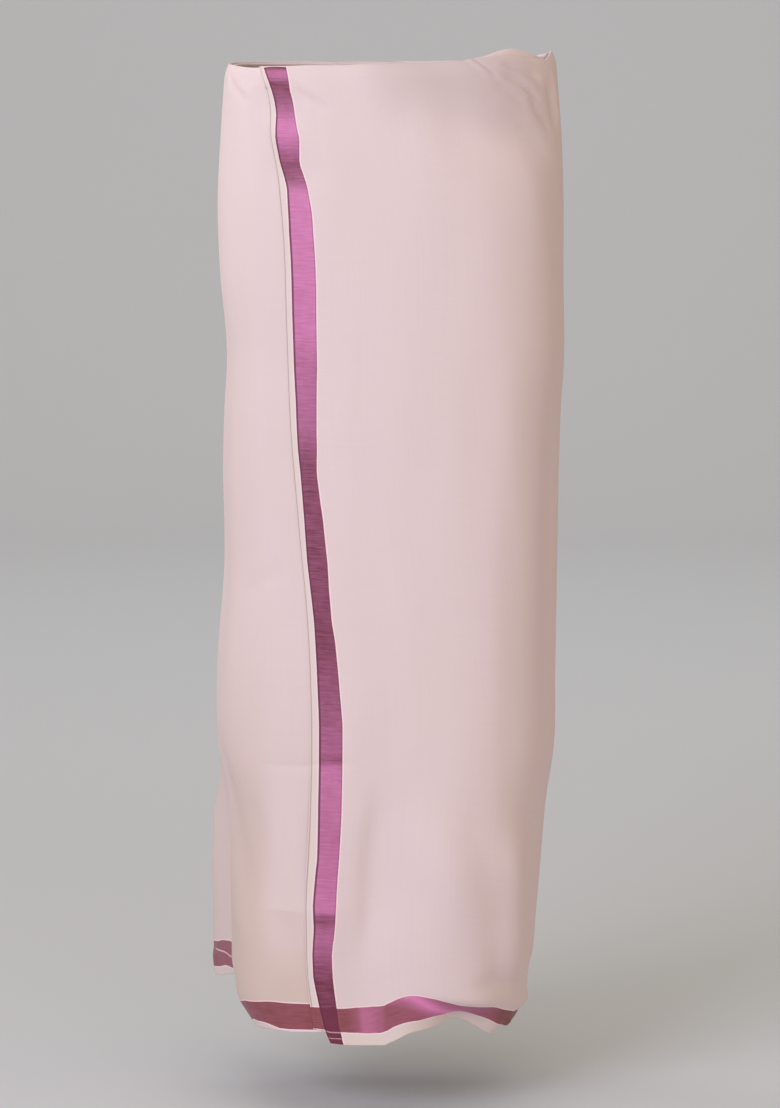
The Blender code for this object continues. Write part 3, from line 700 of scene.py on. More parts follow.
@dataclass
class Turn:
    """One stretch of the cloth round the body, with its edge turned over at the waist."""

    name: str
    nodes: tuple[str, ...]
    slot: str
    columns: Array
    strip: tuple[float, ...]          # lengths below the roll of the rows turned in, bottom first
    roll_radius: float
    roll_drop: float                  # how far the roll's centre lies below the waist's height
    upper: tuple[float, ...]          # lengths below the waist of the wall's upper rows
    lower: tuple[float, ...]          # heights above the hem of its lower rows, top first
    middle_step: float
    strip_slack: float
    form: WornForm = field(default_factory=WornForm)
    creasing: Creasing = field(default_factory=Creasing)
    borders: Borders = field(default_factory=Borders)
    wall: float = 0.00055
    roll_bends: tuple[float, ...] = (180, 150, 120, 90, 60, 30, 0)
    slack_way: float = 0.07           # length below the roll over which the strip hangs freer
    sway_share: float = 0.35          # of the slack
    sway_along: float = 61.0          # radians a metre
    sway_down: float = 9.0

    def row(self, from_waist: float | None = None, from_hem: float | None = None,
            share: float = 0.0) -> RowRule:
        """A row of the wall: a set length from the waist or the hem, or a share of what lies between."""
        def below_waist(angle: Array, turn: Array) -> Array:
            """The row's length below the waist."""
            drop = self.form.drop(angle, turn)
            if from_waist is not None:
                return np.full_like(drop, from_waist)
            if from_hem is not None:
                return drop - from_hem
            return self.upper[-1] + share * (drop - self.upper[-1] - self.lower[0])
        return below_waist

    def wall_rows(self) -> list[RowRule]:
        """The wall's rows, top to bottom."""
        typical = float(self.form.drop(np.zeros(1), np.zeros(1))[0])
        count = round((typical - self.upper[-1] - self.lower[0]) / self.middle_step)
        rows = [self.row(from_waist=length) for length in self.upper]
        rows += [self.row(share=(step + 1) / count) for step in range(count - 1)]
        return rows + [self.row(from_hem=height) for height in self.lower]

    def wall_places(self, rule: RowRule, winding: Winding) -> ClothSurface:
        """The places of one row of the wall."""
        angle, turn = winding.angles_along(self.columns, rule)
        below = rule(angle, turn)
        drop = self.form.drop(angle, turn)
        up = drop - below
        trim = self.borders.trim(self.columns) * np.clip(1.0 - up / self.borders.settled, 0.0, 1.0) ** 2
        up = up + trim
        points, out, _ = self.form.cloth_point(angle, turn, below - trim)
        rise = self.creasing.rise(self.columns, up) - self.settle(up)
        return ClothSurface(points + out * rise[:, None], self.columns, up)

    def settle(self, up: Array) -> Array:
        """How far the cloth lies in from its place, such as at an edge that rests on the turn below."""
        return np.zeros_like(up)

    def turned_in_places(self, winding: Winding) -> list[ClothSurface]:
        """The strip turned in and the roll above it, from its free end up to the wall."""
        places = []
        for length in self.strip:
            rule = self.row(from_waist=length + self.roll_drop)
            angle, turn = winding.angles_along(self.columns, rule)
            slack = self.strip_slack * smoothstep(length / self.slack_way)
            sway = slack * self.sway_share * np.sin(self.columns * self.sway_along
                                                    + length * self.sway_down)
            points, out, _ = self.form.cloth_point(angle, turn, rule(angle, turn),
                                                   2.0 * self.roll_radius + slack)
            top = self.form.drop(angle, turn)
            rise = sway + self.creasing.rise(self.columns, top - self.roll_drop - length)
            places.append(ClothSurface(points + out * rise[:, None], self.columns, top + length))
        rule = self.row(from_waist=self.roll_drop)
        angle, turn = winding.angles_along(self.columns, rule)
        foot, out, upwards = self.form.cloth_point(angle, turn, rule(angle, turn))
        rise = self.creasing.rise(self.columns, self.form.drop(angle, turn) - self.roll_drop)
        centre = foot + out * (rise - self.roll_radius)[:, None]
        for bend in np.radians(self.roll_bends):
            ring = centre + (out * math.cos(bend) + upwards * math.sin(bend)) * self.roll_radius
            up = self.form.drop(angle, turn) + (bend - math.pi / 2) * self.roll_radius
            places.append(ClothSurface(ring, self.columns, up))
        return places

    def surface(self) -> ClothSurface:
        """All places of this stretch."""
        winding = Winding(self.form)
        rows = self.turned_in_places(winding)
        rows += [self.wall_places(rule, winding) for rule in self.wall_rows()]
        return ClothSurface(*(np.array(parts) for parts in zip(*rows)))

    def build(self) -> bpy.types.Object:
        """Makes the piece: a flat grid bent onto its places, with both UV maps, then given its wall.

        Returns:
            The piece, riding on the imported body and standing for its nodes.
        """
        surface = self.surface()
        row_count, column_count = (size - 1 for size in surface.along.shape)
        grid = bmesh.new()
        bmesh.ops.create_grid(grid, x_segments=column_count, y_segments=row_count, size=0.5)
        mesh = bpy.data.meshes.new(self.name)
        grid.to_mesh(mesh)
        grid.free()
        flat = np.zeros(len(mesh.vertices) * 3, np.float32)
        mesh.vertices.foreach_get("co", flat)
        flat = flat.reshape(-1, 3)
        columns = np.rint((flat[:, 0] + 0.5) * column_count).astype(int)
        rows = np.rint((0.5 - flat[:, 1]) * row_count).astype(int)
        mesh.vertices.foreach_set("co", surface.points[rows, columns].astype(np.float32).ravel())
        corner_vertices = np.zeros(len(mesh.loops), np.int32)
        mesh.loops.foreach_get("vertex_index", corner_vertices)
        at = rows[corner_vertices], columns[corner_vertices]
        along, up = surface.along[at], surface.up[at]
        woven = self.borders.woven_along(along, up), self.borders.woven_up(along, up)
        for name, lengths in (("cloth", (along, up)), ("border", woven)):
            layer = mesh.uv_layers.get(name) or mesh.uv_layers.new(name=name)
            layer.data.foreach_set("uv", np.stack(lengths, axis=-1).astype(np.float32).ravel())
        mesh.polygons.foreach_set("use_smooth", np.ones(len(mesh.polygons), bool))
        mesh.update()
        piece = add_to_scene(self.name, mesh)
        thickness = piece.modifiers.new("wall", "SOLIDIFY")
        thickness.thickness = self.wall
        thickness.offset = 0.0
        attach(piece, "root")
        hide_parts(*self.nodes)
        LOG.info("%s: %d by %d places", self.name, row_count + 1, column_count + 1)
        return piece


@dataclass
class OuterTurn(Turn):
    """The turn that shows: the flap, the back, and what passes under the flap."""

    flap_end: float = 0.012           # of the flap, where it settles onto the turn below
    flap_rest: float = 0.0016

    def settle(self, up: Array) -> Array:
        """The flap's free edge rests on the cloth below it."""
        return self.flap_rest * smoothstep(1.0 - self.columns / self.flap_end)


# ---- finishes ------------------------------------------------------------------------------------
def maths_method(operation: str, swapped: bool = False) -> Callable[["Signal", "Signal | float"], "Signal"]:
    """A method that adds a Math node for two values, in either order."""
    def method(self: "Signal", other: "Signal | float") -> "Signal":
        """The node's result."""
        return self.bench.maths(operation, *((other, self) if swapped else (self, other)))
    return method


class Signal:
    """A value in a shader tree. Arithmetic on it adds the Math nodes that work it out."""

    def __init__(self, bench: "Bench", socket: bpy.types.NodeSocket) -> None:
        """Takes the bench that its nodes stand on and the output that gives it."""
        self.bench, self.socket = bench, socket

    __add__ = maths_method("ADD")
    __sub__ = maths_method("SUBTRACT")
    __rsub__ = maths_method("SUBTRACT", swapped=True)
    __mul__ = maths_method("MULTIPLY")        # for masks, where both are
    __or__ = maths_method("MAXIMUM")          # for masks, where either is
    __lt__ = maths_method("LESS_THAN")
    __gt__ = maths_method("GREATER_THAN")


class Rise(NamedTuple):
    """A smooth rise from nothing to all between two places, up or down, and how much it counts."""

    none: float
    full: float
    weight: float = 1.0


class Paint(NamedTuple):
    """A colour that is laid over others, and how much of it shows."""

    colour: Colour | Signal
    share: float = 1.0


class Bench:
    """Places the nodes of one shader tree, left to right, and joins them."""

    def __init__(self, tree: bpy.types.NodeTree) -> None:
        """Takes the tree that the nodes go into."""
        self.tree = tree

    def join(self, value: object, socket: bpy.types.NodeSocket) -> None:
        """Gives an input its value: a signal, or a constant."""
        if isinstance(value, Signal):
            self.tree.links.new(value.socket, socket)
        else:
            socket.default_value = value

    def add(self, kind: str, sockets: dict[str | int, object] | None = None,
            **settings: object) -> bpy.types.Node:
        """Adds a node.

        Args:
            kind: the node's type.
            sockets: the value or signal of each input, by name or number.
            settings: the node's own properties.

        Returns:
            The node.
        """
        node = self.tree.nodes.new(kind)
        for name, value in settings.items():
            setattr(node, name, value)
        for name, value in (sockets or {}).items():
            self.join(value, node.inputs[name])
        node.location = (len(self.tree.nodes) * 180.0, 0.0)
        return node

    def value(self, kind: str, sockets: dict[str | int, object] | None = None, output: str | int = 0,
              **settings: object) -> Signal:
        """One output of a new node, which is given as for add."""
        return Signal(self, self.add(kind, sockets, **settings).outputs[output])

    def group(self, tree: bpy.types.NodeTree, sockets: dict[str, object]) -> dict[str, Signal]:
        """The outputs of a shared group, placed with its own values."""
        return self.signals(self.add("ShaderNodeGroup", sockets, node_tree=tree))

    def signals(self, node: bpy.types.Node) -> dict[str, Signal]:
        """A node's outputs, by name."""
        return {socket.name: Signal(self, socket) for socket in node.outputs}

    def parts(self, place: Signal) -> tuple[Signal, Signal]:
        """The lengths of a place on the cloth: along it, and up it."""
        along, up = self.add("ShaderNodeSeparateXYZ", {0: place}).outputs[:2]
        return Signal(self, along), Signal(self, up)

    def maths(self, operation: str, *values: Signal | float) -> Signal:
        """The result of a Math node."""
        return self.value("ShaderNodeMath", dict(enumerate(values)), operation=operation)

    def mix(self, share: Signal, first: object, second: object, within: bool = True) -> Signal:
        """A colour between two others, or past them if it needn't stay within."""
        sockets = {0: share, 6: first, 7: second}
        return self.value("ShaderNodeMix", sockets, 2, data_type="RGBA", clamp_factor=within)

    def noise(self, place: Signal, grain: Place, detail: float) -> Signal:
        """A noise from 0 to 1, by how many grains it has in a metre along each axis."""
        stretched = self.value("ShaderNodeMapping", {"Vector": place, "Scale": grain})
        return self.value("ShaderNodeTexNoise", {"Vector": stretched, "Scale": 1.0, "Detail": detail})

    def spread(self, value: Signal, none: float, full: float) -> Signal:
        """An even rise from 0 to 1 as the value goes from one place to another."""
        return self.value("ShaderNodeMapRange", {0: value, 1: none, 2: full})

    def rising(self, value: Signal, *rises: Rise) -> Signal:
        """Smooth rises, each counted by its weight and added up."""
        parts = [self.value("ShaderNodeMapRange", {0: value, 1: rise.none, 2: rise.full, 4: rise.weight},
                            interpolation_type="SMOOTHSTEP") for rise in rises]
        return sum(parts[1:], parts[0])

    def between(self, value: Signal, low: float, high: float) -> Signal:
        """1 where the value lies between two others, with crisp edges."""
        return (value > low) * (value < high)


class Group(Bench):
    """A shared node group, which is given a place and gives out values."""

    def __init__(self, name: str, **more: str) -> None:
        """Makes the group with its inputs: the place, and more of them by their socket types."""
        super().__init__(bpy.data.node_groups.new(name, "ShaderNodeTree"))
        for label, kind in {"Place": "NodeSocketVector", **more}.items():
            self.tree.interface.new_socket(name=label, in_out="INPUT", socket_type=kind)
        self.given = self.signals(self.add("NodeGroupInput"))
        self.place = self.given["Place"]

    def give(self, results: dict[str, Signal]) -> bpy.types.NodeTree:
        """Sends the results out, by name, and returns the finished group."""
        for label in results:
            self.tree.interface.new_socket(name=label, in_out="OUTPUT", socket_type="NodeSocketFloat")
        leave = self.add("NodeGroupOutput")
        for label, result in results.items():
            self.join(result, leave.inputs[label])
        return self.tree


# grains of each noise in a metre along the cloth, up it and out of it
WEFT_GRAIN: Place = (9.0, 700.0, 1.0)
WARP_GRAIN: Place = (700.0, 7.0, 1.0)
WAVER_GRAIN: Place = (110.0, 60.0, 1.0)
RIB_GRAIN: Place = (42.0, 620.0, 1.0)
SHINE_GRAIN: Place = (90.0, 60.0, 1.0)
HANDLED_GRAIN: Place = (5.0, 3.2, 1.0)
RIB_WAVER = 0.0030         # metres
STREAK_SLANT = 1.9         # how far the painted highlight on the hem band leans, along it for each length up it
STREAK_MIDDLE = 0.024


def plain_weave_group() -> bpy.types.NodeTree:
    """Plain weave: threads that pass over and under each other, on a surface laid out in metres."""
    group = Group("plain_weave", Threads="NodeSocketFloat")
    sockets = {0: group.place, "Scale": group.given["Threads"]}
    scaled = group.value("ShaderNodeVectorMath", sockets, operation="SCALE")
    warp, weft = (group.maths("ABSOLUTE", group.maths("SINE", part * math.pi))
                  for part in group.parts(scaled))
    over = group.value("ShaderNodeTexChecker", {"Vector": scaled, "Scale": 1.0}, "Fac")
    return group.give({"Height": warp * over + weft * (1.0 - over)})


def yarn_group() -> bpy.types.NodeTree:
    """Uneven yarn: thicker and thinner threads, as short streaks both along and up the cloth."""
    group = Group("yarn_unevenness")
    weft, warp = (group.noise(group.place, grain, 3.0) for grain in (WEFT_GRAIN, WARP_GRAIN))
    return group.give({"Streaks": (weft + warp) * 0.5})


def satin_group() -> bpy.types.NodeTree:
    """Satin floats: fine wavy ribs from side to side of the garment, and a slow change of shine."""
    group = Group("satin_floats")
    along, up = group.parts(group.place)
    bent_up = group.noise(group.place, WAVER_GRAIN, 2.0) * RIB_WAVER + up
    bent = group.value("ShaderNodeCombineXYZ", {0: along, 1: bent_up})
    return group.give({"Ribs": group.noise(bent, RIB_GRAIN, 2.0),
                       "Shine": group.noise(group.place, SHINE_GRAIN, 3.0)})


def borders_group(borders: Borders) -> bpy.types.NodeTree:
    """Where the woven bands lie, from lengths along and up the cloth as woven.

    Args:
        borders: the widths of the bands.

    Returns:
        The group. Its masks are the bands, the place where they cross, the dark of the end band's own
        first and last yarns, the pale yarns just outside a band, the plain margins outside them, the
        painted shadow along the cut end, and the pale yarns that show where the bands cross.
    """
    group = Group("woven_borders")
    along, up = group.parts(group.place)
    from_end = group.maths("MINIMUM", along, borders.cloth_length - along)
    from_edge = group.maths("MINIMUM", up, borders.cloth_width - up)
    yarn, top = borders.edge_yarns, borders.band_top
    first, second = borders.end_margin, borders.end_band_top
    shown = (up < borders.waist_fold) | (along > borders.cloth_length / 2)
    end = group.between(from_end, first, second) * shown
    last_yarns = group.between(from_end, second - borders.last_yarns * yarn, second)
    below_band = group.between(from_edge, SELVEDGE - yarn, SELVEDGE)
    fleck_row = group.between(from_edge, *(share * SELVEDGE for share in borders.fleck_row))
    return group.give({
        "Hem band": group.between(from_edge, SELVEDGE, top),
        "End band": end,
        "Crossing": end * (from_edge < top),
        "Dark yarns": (group.between(from_end, first, first + borders.first_yarns * yarn)
                       | last_yarns * borders.last_yarns_dark),
        "Pale yarns": (group.between(from_end, first - yarn, first)
                       | group.between(from_end, second, second + yarn)
                       | below_band | group.between(from_edge, top, top + yarn)),
        "Margin": (from_end < first) | (from_edge < SELVEDGE),
        "End line": group.between(from_end, borders.end_line, borders.end_line + borders.painted_edge_shadow_width),
        "Flecks": (below_band | fleck_row) * end,
    })


def loose_yarn_mask(bench: Bench, border: Signal, borders: Borders) -> Signal:
    """A pale yarn lying slanted across the rear hem's band.

    Args:
        bench: where the nodes go.
        border: lengths along and up the cloth, as woven.
        borders: the yarn's ends and width.

    Returns:
        1 on the yarn.
    """
    (start, start_up), (stop, stop_up) = borders.loose_from, borders.loose_to
    along, up = bench.parts(border)
    line = (along - start) * ((stop_up - start_up) / (stop - start)) + start_up
    near = bench.maths("ABSOLUTE", up - line) < borders.loose_width / 2
    return near * bench.between(along, start, stop)


@dataclass(frozen=True)
class PaintedShade:
    """Where painted shade darkens the cotton, in metres along and up the cloth."""

    # painted shade, darker and warmer towards the hem, on the panel under the flap and further back
    low_shade_along: tuple[Rise, ...] = (Rise(0.845, 0.890, 0.6), Rise(0.68, 0.72, 0.4))
    low_shade_up: tuple[Rise, ...] = (Rise(0.46, 0.10, 0.7), Rise(0.88, 0.64, 0.3))
    shade_lifted_along: Rise = Rise(0.926, 0.956)          # where less painted shade lies, next to the flap's edge
    shade_lifted_up: Rise = Rise(0.055, 0.120, 0.50)
    folded_up: Rise = Rise(0.1376, 0.2892, 0.22)      # painted light between two pressed folds, with crisp ends
    # painted shade at the waist, over the wearer's left hip
    waist_shade_along: tuple[Rise, ...] = (Rise(0.09, 0.17), Rise(0.335, 0.262))
    waist_shade_up: Rise = Rise(0.920, 0.980)

    def masks(self, bench: Bench, cloth: Signal) -> tuple[Signal, Signal]:
        """How much painted shade lies on the cotton.

        Args:
            bench: where the nodes go.
            cloth: lengths along and up the cloth.

        Returns:
            How much painted shade lies low on the panel under the flap, and how much at the waist.
        """
        along, up = bench.parts(cloth)
        low_shade = bench.rising(up, *self.low_shade_up) * bench.rising(along, *self.low_shade_along)
        folded = bench.between(up, self.folded_up.none, self.folded_up.full) * self.folded_up.weight
        shade_lifted = (bench.rising(up, self.shade_lifted_up) + folded) * bench.rising(along, self.shade_lifted_along)
        waist_shade = bench.rising(up, self.waist_shade_up)
        for side in self.waist_shade_along:
            waist_shade = waist_shade * bench.rising(along, side)
        return low_shade * (1.0 - shade_lifted), waist_shade


@dataclass(frozen=True)
class BorderedCotton:
    """Ironed cotton with satin borders: its colours, gloss and threads."""

    name: str
    ground: Colour = (0.778, 0.636, 0.668, 1.0)
    streaks: Paint = Paint((0.735, 0.586, 0.615, 1.0), 0.35)
    handled: Paint = Paint((0.755, 0.616, 0.620, 1.0), 0.60)
    # painted shade: low on the panel under the flap, and at the waist over the wearer's left hip
    low_shade: Paint = Paint((0.672, 0.524, 0.490, 1.0))
    waist_shade: Paint = Paint((0.650, 0.528, 0.545, 1.0))
    margin: Paint = Paint((0.765, 0.640, 0.630, 1.0))
    pale_yarns: Paint = Paint((0.930, 0.700, 0.790, 1.0), 0.90)
    flecks_share: float = 0.45        # of the pale yarns' colour, where it shows again
    loose_share: float = 0.70
    crossing: Paint = Paint((0.172, 0.030, 0.070, 1.0), 0.90)
    edge_dark: Paint = Paint((0.120, 0.026, 0.050, 1.0), 0.80)
    # painted shadow along the cut end, where the flap's free edge rests on the turn below
    end_line: Paint = Paint((0.330, 0.215, 0.220, 1.0), 0.60)
    # the satin painted lit and painted shaded: the painted sheen and shade of the tables mix between these
    satin_shaded: Colour = (0.205, 0.048, 0.096, 1.0)
    satin_lit: Colour = (0.600, 0.195, 0.420, 1.0)
    hem_shaded: Colour = (0.270, 0.076, 0.094, 1.0)
    hem_lit: Colour = (0.640, 0.205, 0.410, 1.0)
    ribs_light: float = 0.75          # how much the ribs and the painted shine change the satin's lightness
    shine_light: float = 0.35
    hem_unevenness: float = 0.6       # of that, on the hem band
    streaks_range: tuple[float, float] = (0.42, 0.62)
    handled_range: tuple[float, float] = (0.42, 0.72)
    threads_per_metre: float = 2600.0
    cotton_roughness: float = 0.88
    satin_roughness: float = 0.50
    sheen: float = 0.10
    sheen_roughness: float = 0.45
    specular: float = 0.25
    relief: float = 0.00010           # metres for a height of 1
    relief_strength: float = 0.55
    weave_relief: float = 0.45
    ribs_relief: float = 2.0
    yarn_relief: float = 0.8
    painted_shade: PaintedShade = field(default_factory=PaintedShade)
    borders: Borders = field(default_factory=Borders)

    def tone_ramp(self, bench: Bench, place: Signal, tones: Sequence[Tone]) -> Signal:
        """The satin's painted sheen and shade along a band.

        Args:
            bench: where the node goes.
            place: the length along the band.
            tones: the table of painted sheen and shade.

        Returns:
            The painted lightness there.
        """
        ramp = bench.add("ShaderNodeValToRGB", {0: bench.maths("DIVIDE", place, TONE_REACH)})
        stops = ramp.color_ramp.elements
        while len(stops) < len(tones):
            stops.new(0.5)
        for stop, tone in zip(stops, tones):
            stop.position = tone.at / TONE_REACH
        for stop, tone in zip(stops, tones):
            stop.color = (*[(tone.light - TONE_FLOOR) / TONE_SPAN] * 3, 1.0)
        return Signal(bench, ramp.outputs[0]) * TONE_SPAN + TONE_FLOOR

    def band_colours(self, bench: Bench, border: Signal, satin: dict[str, Signal]) -> tuple[Signal, Signal]:
        """The colours of both bands, with the satin's painted sheen, painted shade and painted highlight.

        Args:
            bench: where the nodes go.
            border: lengths along and up the cloth, as woven.
            satin: the satin floats.

        Returns:
            The two colours.
        """
        along, up = bench.parts(border)
        uneven = (satin["Ribs"] - 0.5) * self.ribs_light + (satin["Shine"] - 0.5) * self.shine_light
        end_light = self.tone_ramp(bench, up, END_BAND_PAINTED_SHEEN) + uneven
        slanted = up * STREAK_SLANT + along - STREAK_SLANT * STREAK_MIDDLE
        hem_lit = (self.tone_ramp(bench, along, HEM_BAND_PAINTED_SHEEN)
                     + self.tone_ramp(bench, slanted, HEM_PAINTED_HIGHLIGHT) + uneven * self.hem_unevenness)
        return (bench.mix(end_light, self.satin_shaded, self.satin_lit, within=False),
                bench.mix(hem_lit, self.hem_shaded, self.hem_lit, within=False))

    def material(self, groups: dict[str, bpy.types.NodeTree]) -> bpy.types.Material:
        """The finish as a material.

        Args:
            groups: the shared node groups, by name.

        Returns:
            The material.
        """
        material = bpy.data.materials.new(self.name)
        material.use_nodes = True
        bench = Bench(material.node_tree)
        cloth, border = (bench.value("ShaderNodeUVMap", uv_map=name) for name in ("cloth", "border"))
        weave = bench.group(groups["weave"], {"Place": cloth, "Threads": self.threads_per_metre})
        yarn = bench.group(groups["yarn"], {"Place": cloth})
        bands = bench.group(groups["borders"], {"Place": border})
        satin = bench.group(groups["satin"], {"Place": cloth})
        end_colour, hem_colour = self.band_colours(bench, border, satin)
        low_shade, waist_shade = self.painted_shade.masks(bench, cloth)
        pale = self.pale_yarns.colour

        layers = (
            (bench.spread(yarn["Streaks"], *self.streaks_range), self.streaks),
            (bench.spread(bench.noise(cloth, HANDLED_GRAIN, 4.0), *self.handled_range), self.handled),
            # painted shade, low on the panel under the flap and at the waist
            (low_shade, self.low_shade),
            (waist_shade, self.waist_shade),
            (bands["Margin"], self.margin),
            (bands["Pale yarns"], self.pale_yarns),
            (bands["Hem band"], Paint(hem_colour)),
            (bands["End band"], Paint(end_colour)),
            (bands["Crossing"], self.crossing),
            (bands["Flecks"], Paint(pale, self.flecks_share)),
            (bands["Dark yarns"] * bands["End band"], self.edge_dark),
            # the painted shadow along the cut end
            (bands["End line"] * (1.0 - bands["Hem band"]), self.end_line),
            (loose_yarn_mask(bench, border, self.borders), Paint(pale, self.loose_share)),
        )
        colour = self.ground
        for mask, paint in layers:
            colour = bench.mix(mask * paint.share, colour, paint.colour)

        in_band = bands["Hem band"] | bands["End band"]
        height = (weave["Height"] * (1.0 - in_band) * self.weave_relief
                  + satin["Ribs"] * in_band * self.ribs_relief + yarn["Streaks"] * self.yarn_relief)
        bump = {"Height": height, "Strength": self.relief_strength, "Distance": self.relief}
        finish = {
            "Base Color": colour,
            "Roughness": in_band * (self.satin_roughness - self.cotton_roughness) + self.cotton_roughness,
            "Sheen Weight": self.sheen,
            "Sheen Roughness": self.sheen_roughness,
            "Specular IOR Level": self.specular,
            "Normal": bench.value("ShaderNodeBump", bump),
        }
        for name, value in finish.items():
            bench.join(value, material.node_tree.nodes["Principled BSDF"].inputs[name])
        return material


# ---- the studio ----------------------------------------------------------------------------------
def add_to_scene(name: str, data: bpy.types.ID) -> bpy.types.Object:
    """A new object in the scene."""
    thing = bpy.data.objects.new(name, data)
    bpy.context.scene.collection.objects.link(thing)
    return thing


def aim(thing: bpy.types.Object, place: Place, target: Place) -> None:
    """Puts a light or the camera in its place, turned towards its target."""
    thing.location = place
    thing.rotation_euler = (Vector(target) - Vector(place)).to_track_quat("-Z", "Y").to_euler()


@dataclass(frozen=True)
class SoftLight:
    """A square studio light and the place that it is aimed at."""

    name: str
    place: Place
    size: float
    watts: float
    colour: tuple[float, float, float] = (1.0, 1.0, 1.0)
    target: Place = (0.0, 0.0, -0.45)
    spread: float = 180.0


@dataclass(frozen=True)
class Studio:
    """A plain pale sweep, soft lights and the camera."""

    floor_z: float = -1.075
    depth: float = 15.6
    height: float = 9.0
    bend: float = 2.5
    bend_segments: int = 24
    sweep_colour: Colour = (0.683, 0.700, 0.764, 1.0)
    sweep_paler: float = 1.01         # how much lighter its paint is in places
    sweep_grain: Place = (3.0, 3.0, 3.0)
    sweep_roughness: float = 0.95
    air_colour: Colour = (0.440, 0.392, 0.298, 1.0)
    camera_place: Place = (0.0, -4.5, 0.02)
    looks_at: Place = (0.0, -0.14, -0.483)
    lens_mm: float = 139.8
    sensor_mm: float = 36.0
    lights: tuple[SoftLight, ...] = (
        SoftLight("key", (-2.35, -3.7, 1.2), 2.2, 109.0, (0.864, 0.891, 1.0)),
        SoftLight("fill", (1.7, -4.0, -0.1), 2.0, 16.0, (1.0, 0.88, 0.80)),
        SoftLight("side", (3.0, -1.0, -0.3), 1.6, 6.2, (1.0, 0.62, 0.30)),
        SoftLight("rim", (-1.9, 0.9, 0.9), 0.8, 1.5, (1.0, 0.97, 0.92), (-0.15, 0.0, 0.16), 50.0),
        SoftLight("top", (-0.4, -1.0, 3.0), 2.6, 22.0),
        SoftLight("backdrop", (0.0, 3.2, 3.2), 3.5, 54.0, (0.85, 0.92, 1.0), (0.0, 6.4, -0.6)),
    )

    def sweep(self) -> None:
        """The floor, bent up into a backdrop behind the garment."""
        shape = bmesh.new()
        bmesh.ops.create_grid(shape, x_segments=1, y_segments=1, size=self.depth / 2)
        back = [edge for edge in shape.edges if all(vertex.co.y > 0 for vertex in edge.verts)]
        raised = bmesh.ops.extrude_edge_only(shape, edges=back)["geom"]
        vertices = [part for part in raised if isinstance(part, bmesh.types.BMVert)]
        bmesh.ops.translate(shape, verts=vertices, vec=(0.0, 0.0, self.height))
        bmesh.ops.bevel(shape, geom=back, offset=self.bend, segments=self.bend_segments, profile=0.5,
                        affect="EDGES", material=-1)
        bmesh.ops.translate(shape, verts=shape.verts, vec=(0.0, 0.0, self.floor_z))
        bmesh.ops.recalc_face_normals(shape, faces=shape.faces)
        mesh = bpy.data.meshes.new("sweep")
        shape.to_mesh(mesh)
        shape.free()
        for face in mesh.polygons:
            face.use_smooth = True
        mesh.materials.append(self.sweep_paint())
        sweep = add_to_scene("sweep", mesh)

    def sweep_paint(self) -> bpy.types.Material:
        """The sweep's paint, a little uneven."""
        paint = bpy.data.materials.new("sweep_paint")
        paint.use_nodes = True
        bench = Bench(paint.node_tree)
        grain = bench.noise(bench.value("ShaderNodeTexCoord", output="Object"), self.sweep_grain, 2.0)
        paler = tuple(min(1.0, part * self.sweep_paler) for part in self.sweep_colour)
        shader = paint.node_tree.nodes["Principled BSDF"]
        bench.join(bench.mix(grain, self.sweep_colour, paler), shader.inputs["Base Color"])
        bench.join(self.sweep_roughness, shader.inputs["Roughness"])
        return paint

    def light(self) -> None:
        """The soft lights and the light of the room itself."""
        for lamp in self.lights:
            data = bpy.data.lights.new(lamp.name, "AREA")
            data.shape, data.size = "SQUARE", lamp.size
            data.energy, data.color, data.spread = lamp.watts, lamp.colour, math.radians(lamp.spread)
            aim(add_to_scene(lamp.name, data), lamp.place, lamp.target)
        world = bpy.data.worlds.new("room")
        world.use_nodes = True
        world.node_tree.nodes["Background"].inputs["Color"].default_value = self.air_colour
        bpy.context.scene.world = world

    def camera(self) -> None:
        """The camera, in front of the garment and a little above its middle."""
        data = bpy.data.cameras.new("camera")
        data.lens, data.sensor_width, data.sensor_fit = self.lens_mm, self.sensor_mm, "AUTO"
        camera = add_to_scene("camera", data)
        aim(camera, self.camera_place, self.looks_at)
        bpy.context.scene.camera = camera
        bpy.context.scene.view_settings.view_transform = "Standard"


# ---- the garment ---------------------------------------------------------------------------------
def spaced(runs: dict[float, float], stop: float) -> tuple[float, ...]:
    """Places in evenly spaced runs.

    Args:
        runs: where each run starts, and about how far apart its places are.
        stop: the last place.

    Returns:
        The places.
    """
    places = []
    for (start, step), end in zip(runs.items(), [*list(runs)[1:], stop]):
        places.extend(np.linspace(start, end, max(1, round((end - start) / step)), endpoint=False))
    return (*places, stop)


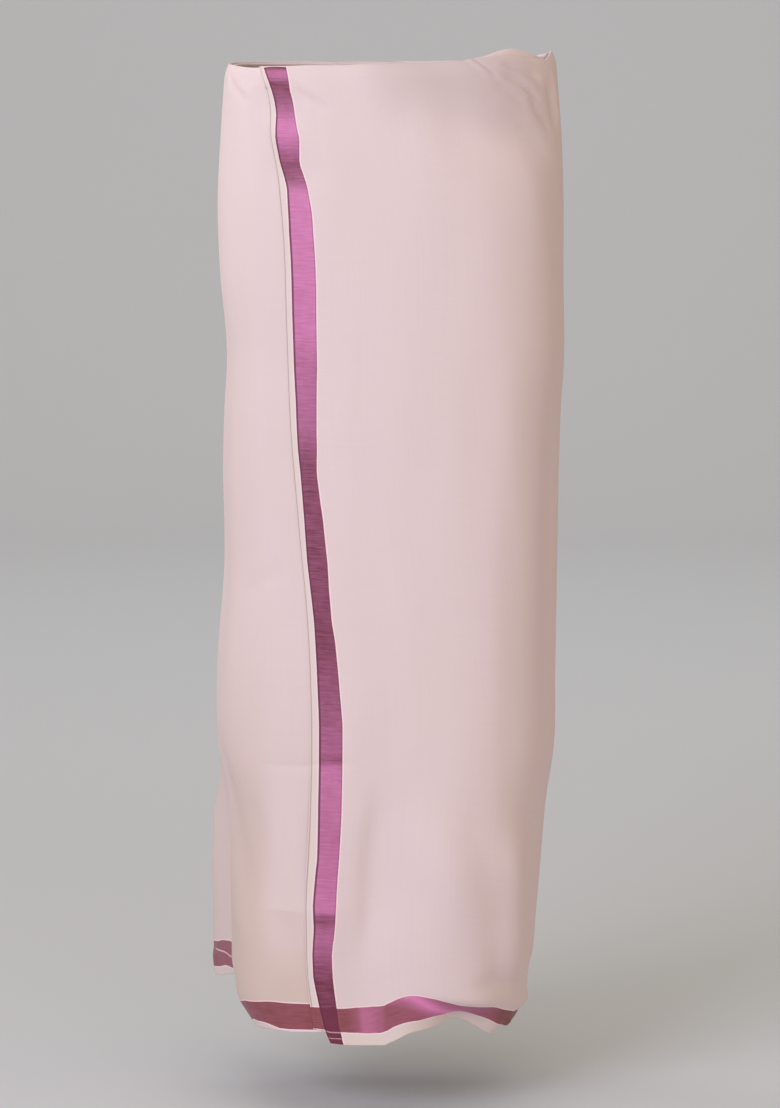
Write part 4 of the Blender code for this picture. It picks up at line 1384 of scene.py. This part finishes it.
def outer_turn() -> OuterTurn:
    """The outer turn, with places close together where creases, edges and bands need them."""
    columns = spaced({0.002: 0.0020, 0.046: 0.0028, 0.080: 0.0052, 0.225: 0.0022, 0.265: 0.0036,
                      0.350: 0.0086, 0.850: 0.0052, 0.996: 0.0100}, 1.140)
    lower = spaced({0.0105: 0.0038, 0.0700: 0.0060, 0.128: 0.0026, 0.1340: 0.0012, 0.1424: 0.0026,
                    0.150: 0.0062, 0.278: 0.0026, 0.2870: 0.0012, 0.2980: 0.0026}, 0.304)
    return OuterTurn(
        name="outer_turn",
        nodes=("front_flap", "back_wrap", "under_wrap"),
        slot="outer_cotton",
        columns=np.array([0.0, 0.0007, *columns]),
        strip=(0.022, 0.016, 0.010, 0.005, 0.002),
        roll_radius=0.00065,
        roll_drop=0.0014,
        upper=(0.0028, 0.0040, 0.0055, 0.0075, 0.0100, *spaced({0.0125: 0.0028, 0.0500: 0.0056}, 0.120)),
        lower=(*reversed(lower), 0.0075, 0.0045, 0.0022, 0.0007, 0.0),
        middle_step=0.0062,
        strip_slack=0.0,
    )


def first_turn() -> Turn:
    """The hidden first turn, next to the body, and the strip turned in at its waist."""
    return Turn(
        name="first_turn",
        nodes=("inner_left", "inner_back", "inner_right", "turn_in_left", "turn_in_back", "turn_in_right"),
        slot="inner_cotton",
        columns=np.array(spaced({1.1402: 0.0080, 1.9992: 0.0008}, 2.0)),
        strip=(0.265, 0.020, 0.012, 0.006, 0.002),   # straight between its free end and the roll
        roll_radius=0.0013,
        roll_drop=0.0013,
        upper=(0.0036, 0.0060, 0.0100, *spaced({0.0150: 0.009}, 0.090)),
        lower=(*reversed(spaced({0.011: 0.006}, 0.080)), 0.007, 0.003, 0.0008, 0.0),
        middle_step=0.0095,
        strip_slack=0.0030,
    )


def main() -> None:
    """Builds the garment, dresses it, and sets up the studio."""
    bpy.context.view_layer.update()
    groups = {
        "weave": plain_weave_group(),
        "yarn": yarn_group(),
        "borders": borders_group(Borders()),
        "satin": satin_group(),
    }
    outer, first = outer_turn().build(), first_turn().build()
    outer.data.materials.append(BorderedCotton("outer_bordered_cotton").material(groups))
    first.data.materials.append(BorderedCotton("inner_bordered_cotton").material(groups))
    studio = Studio()
    studio.sweep()
    studio.light()
    studio.camera()


if __name__ == "__main__":
    main()
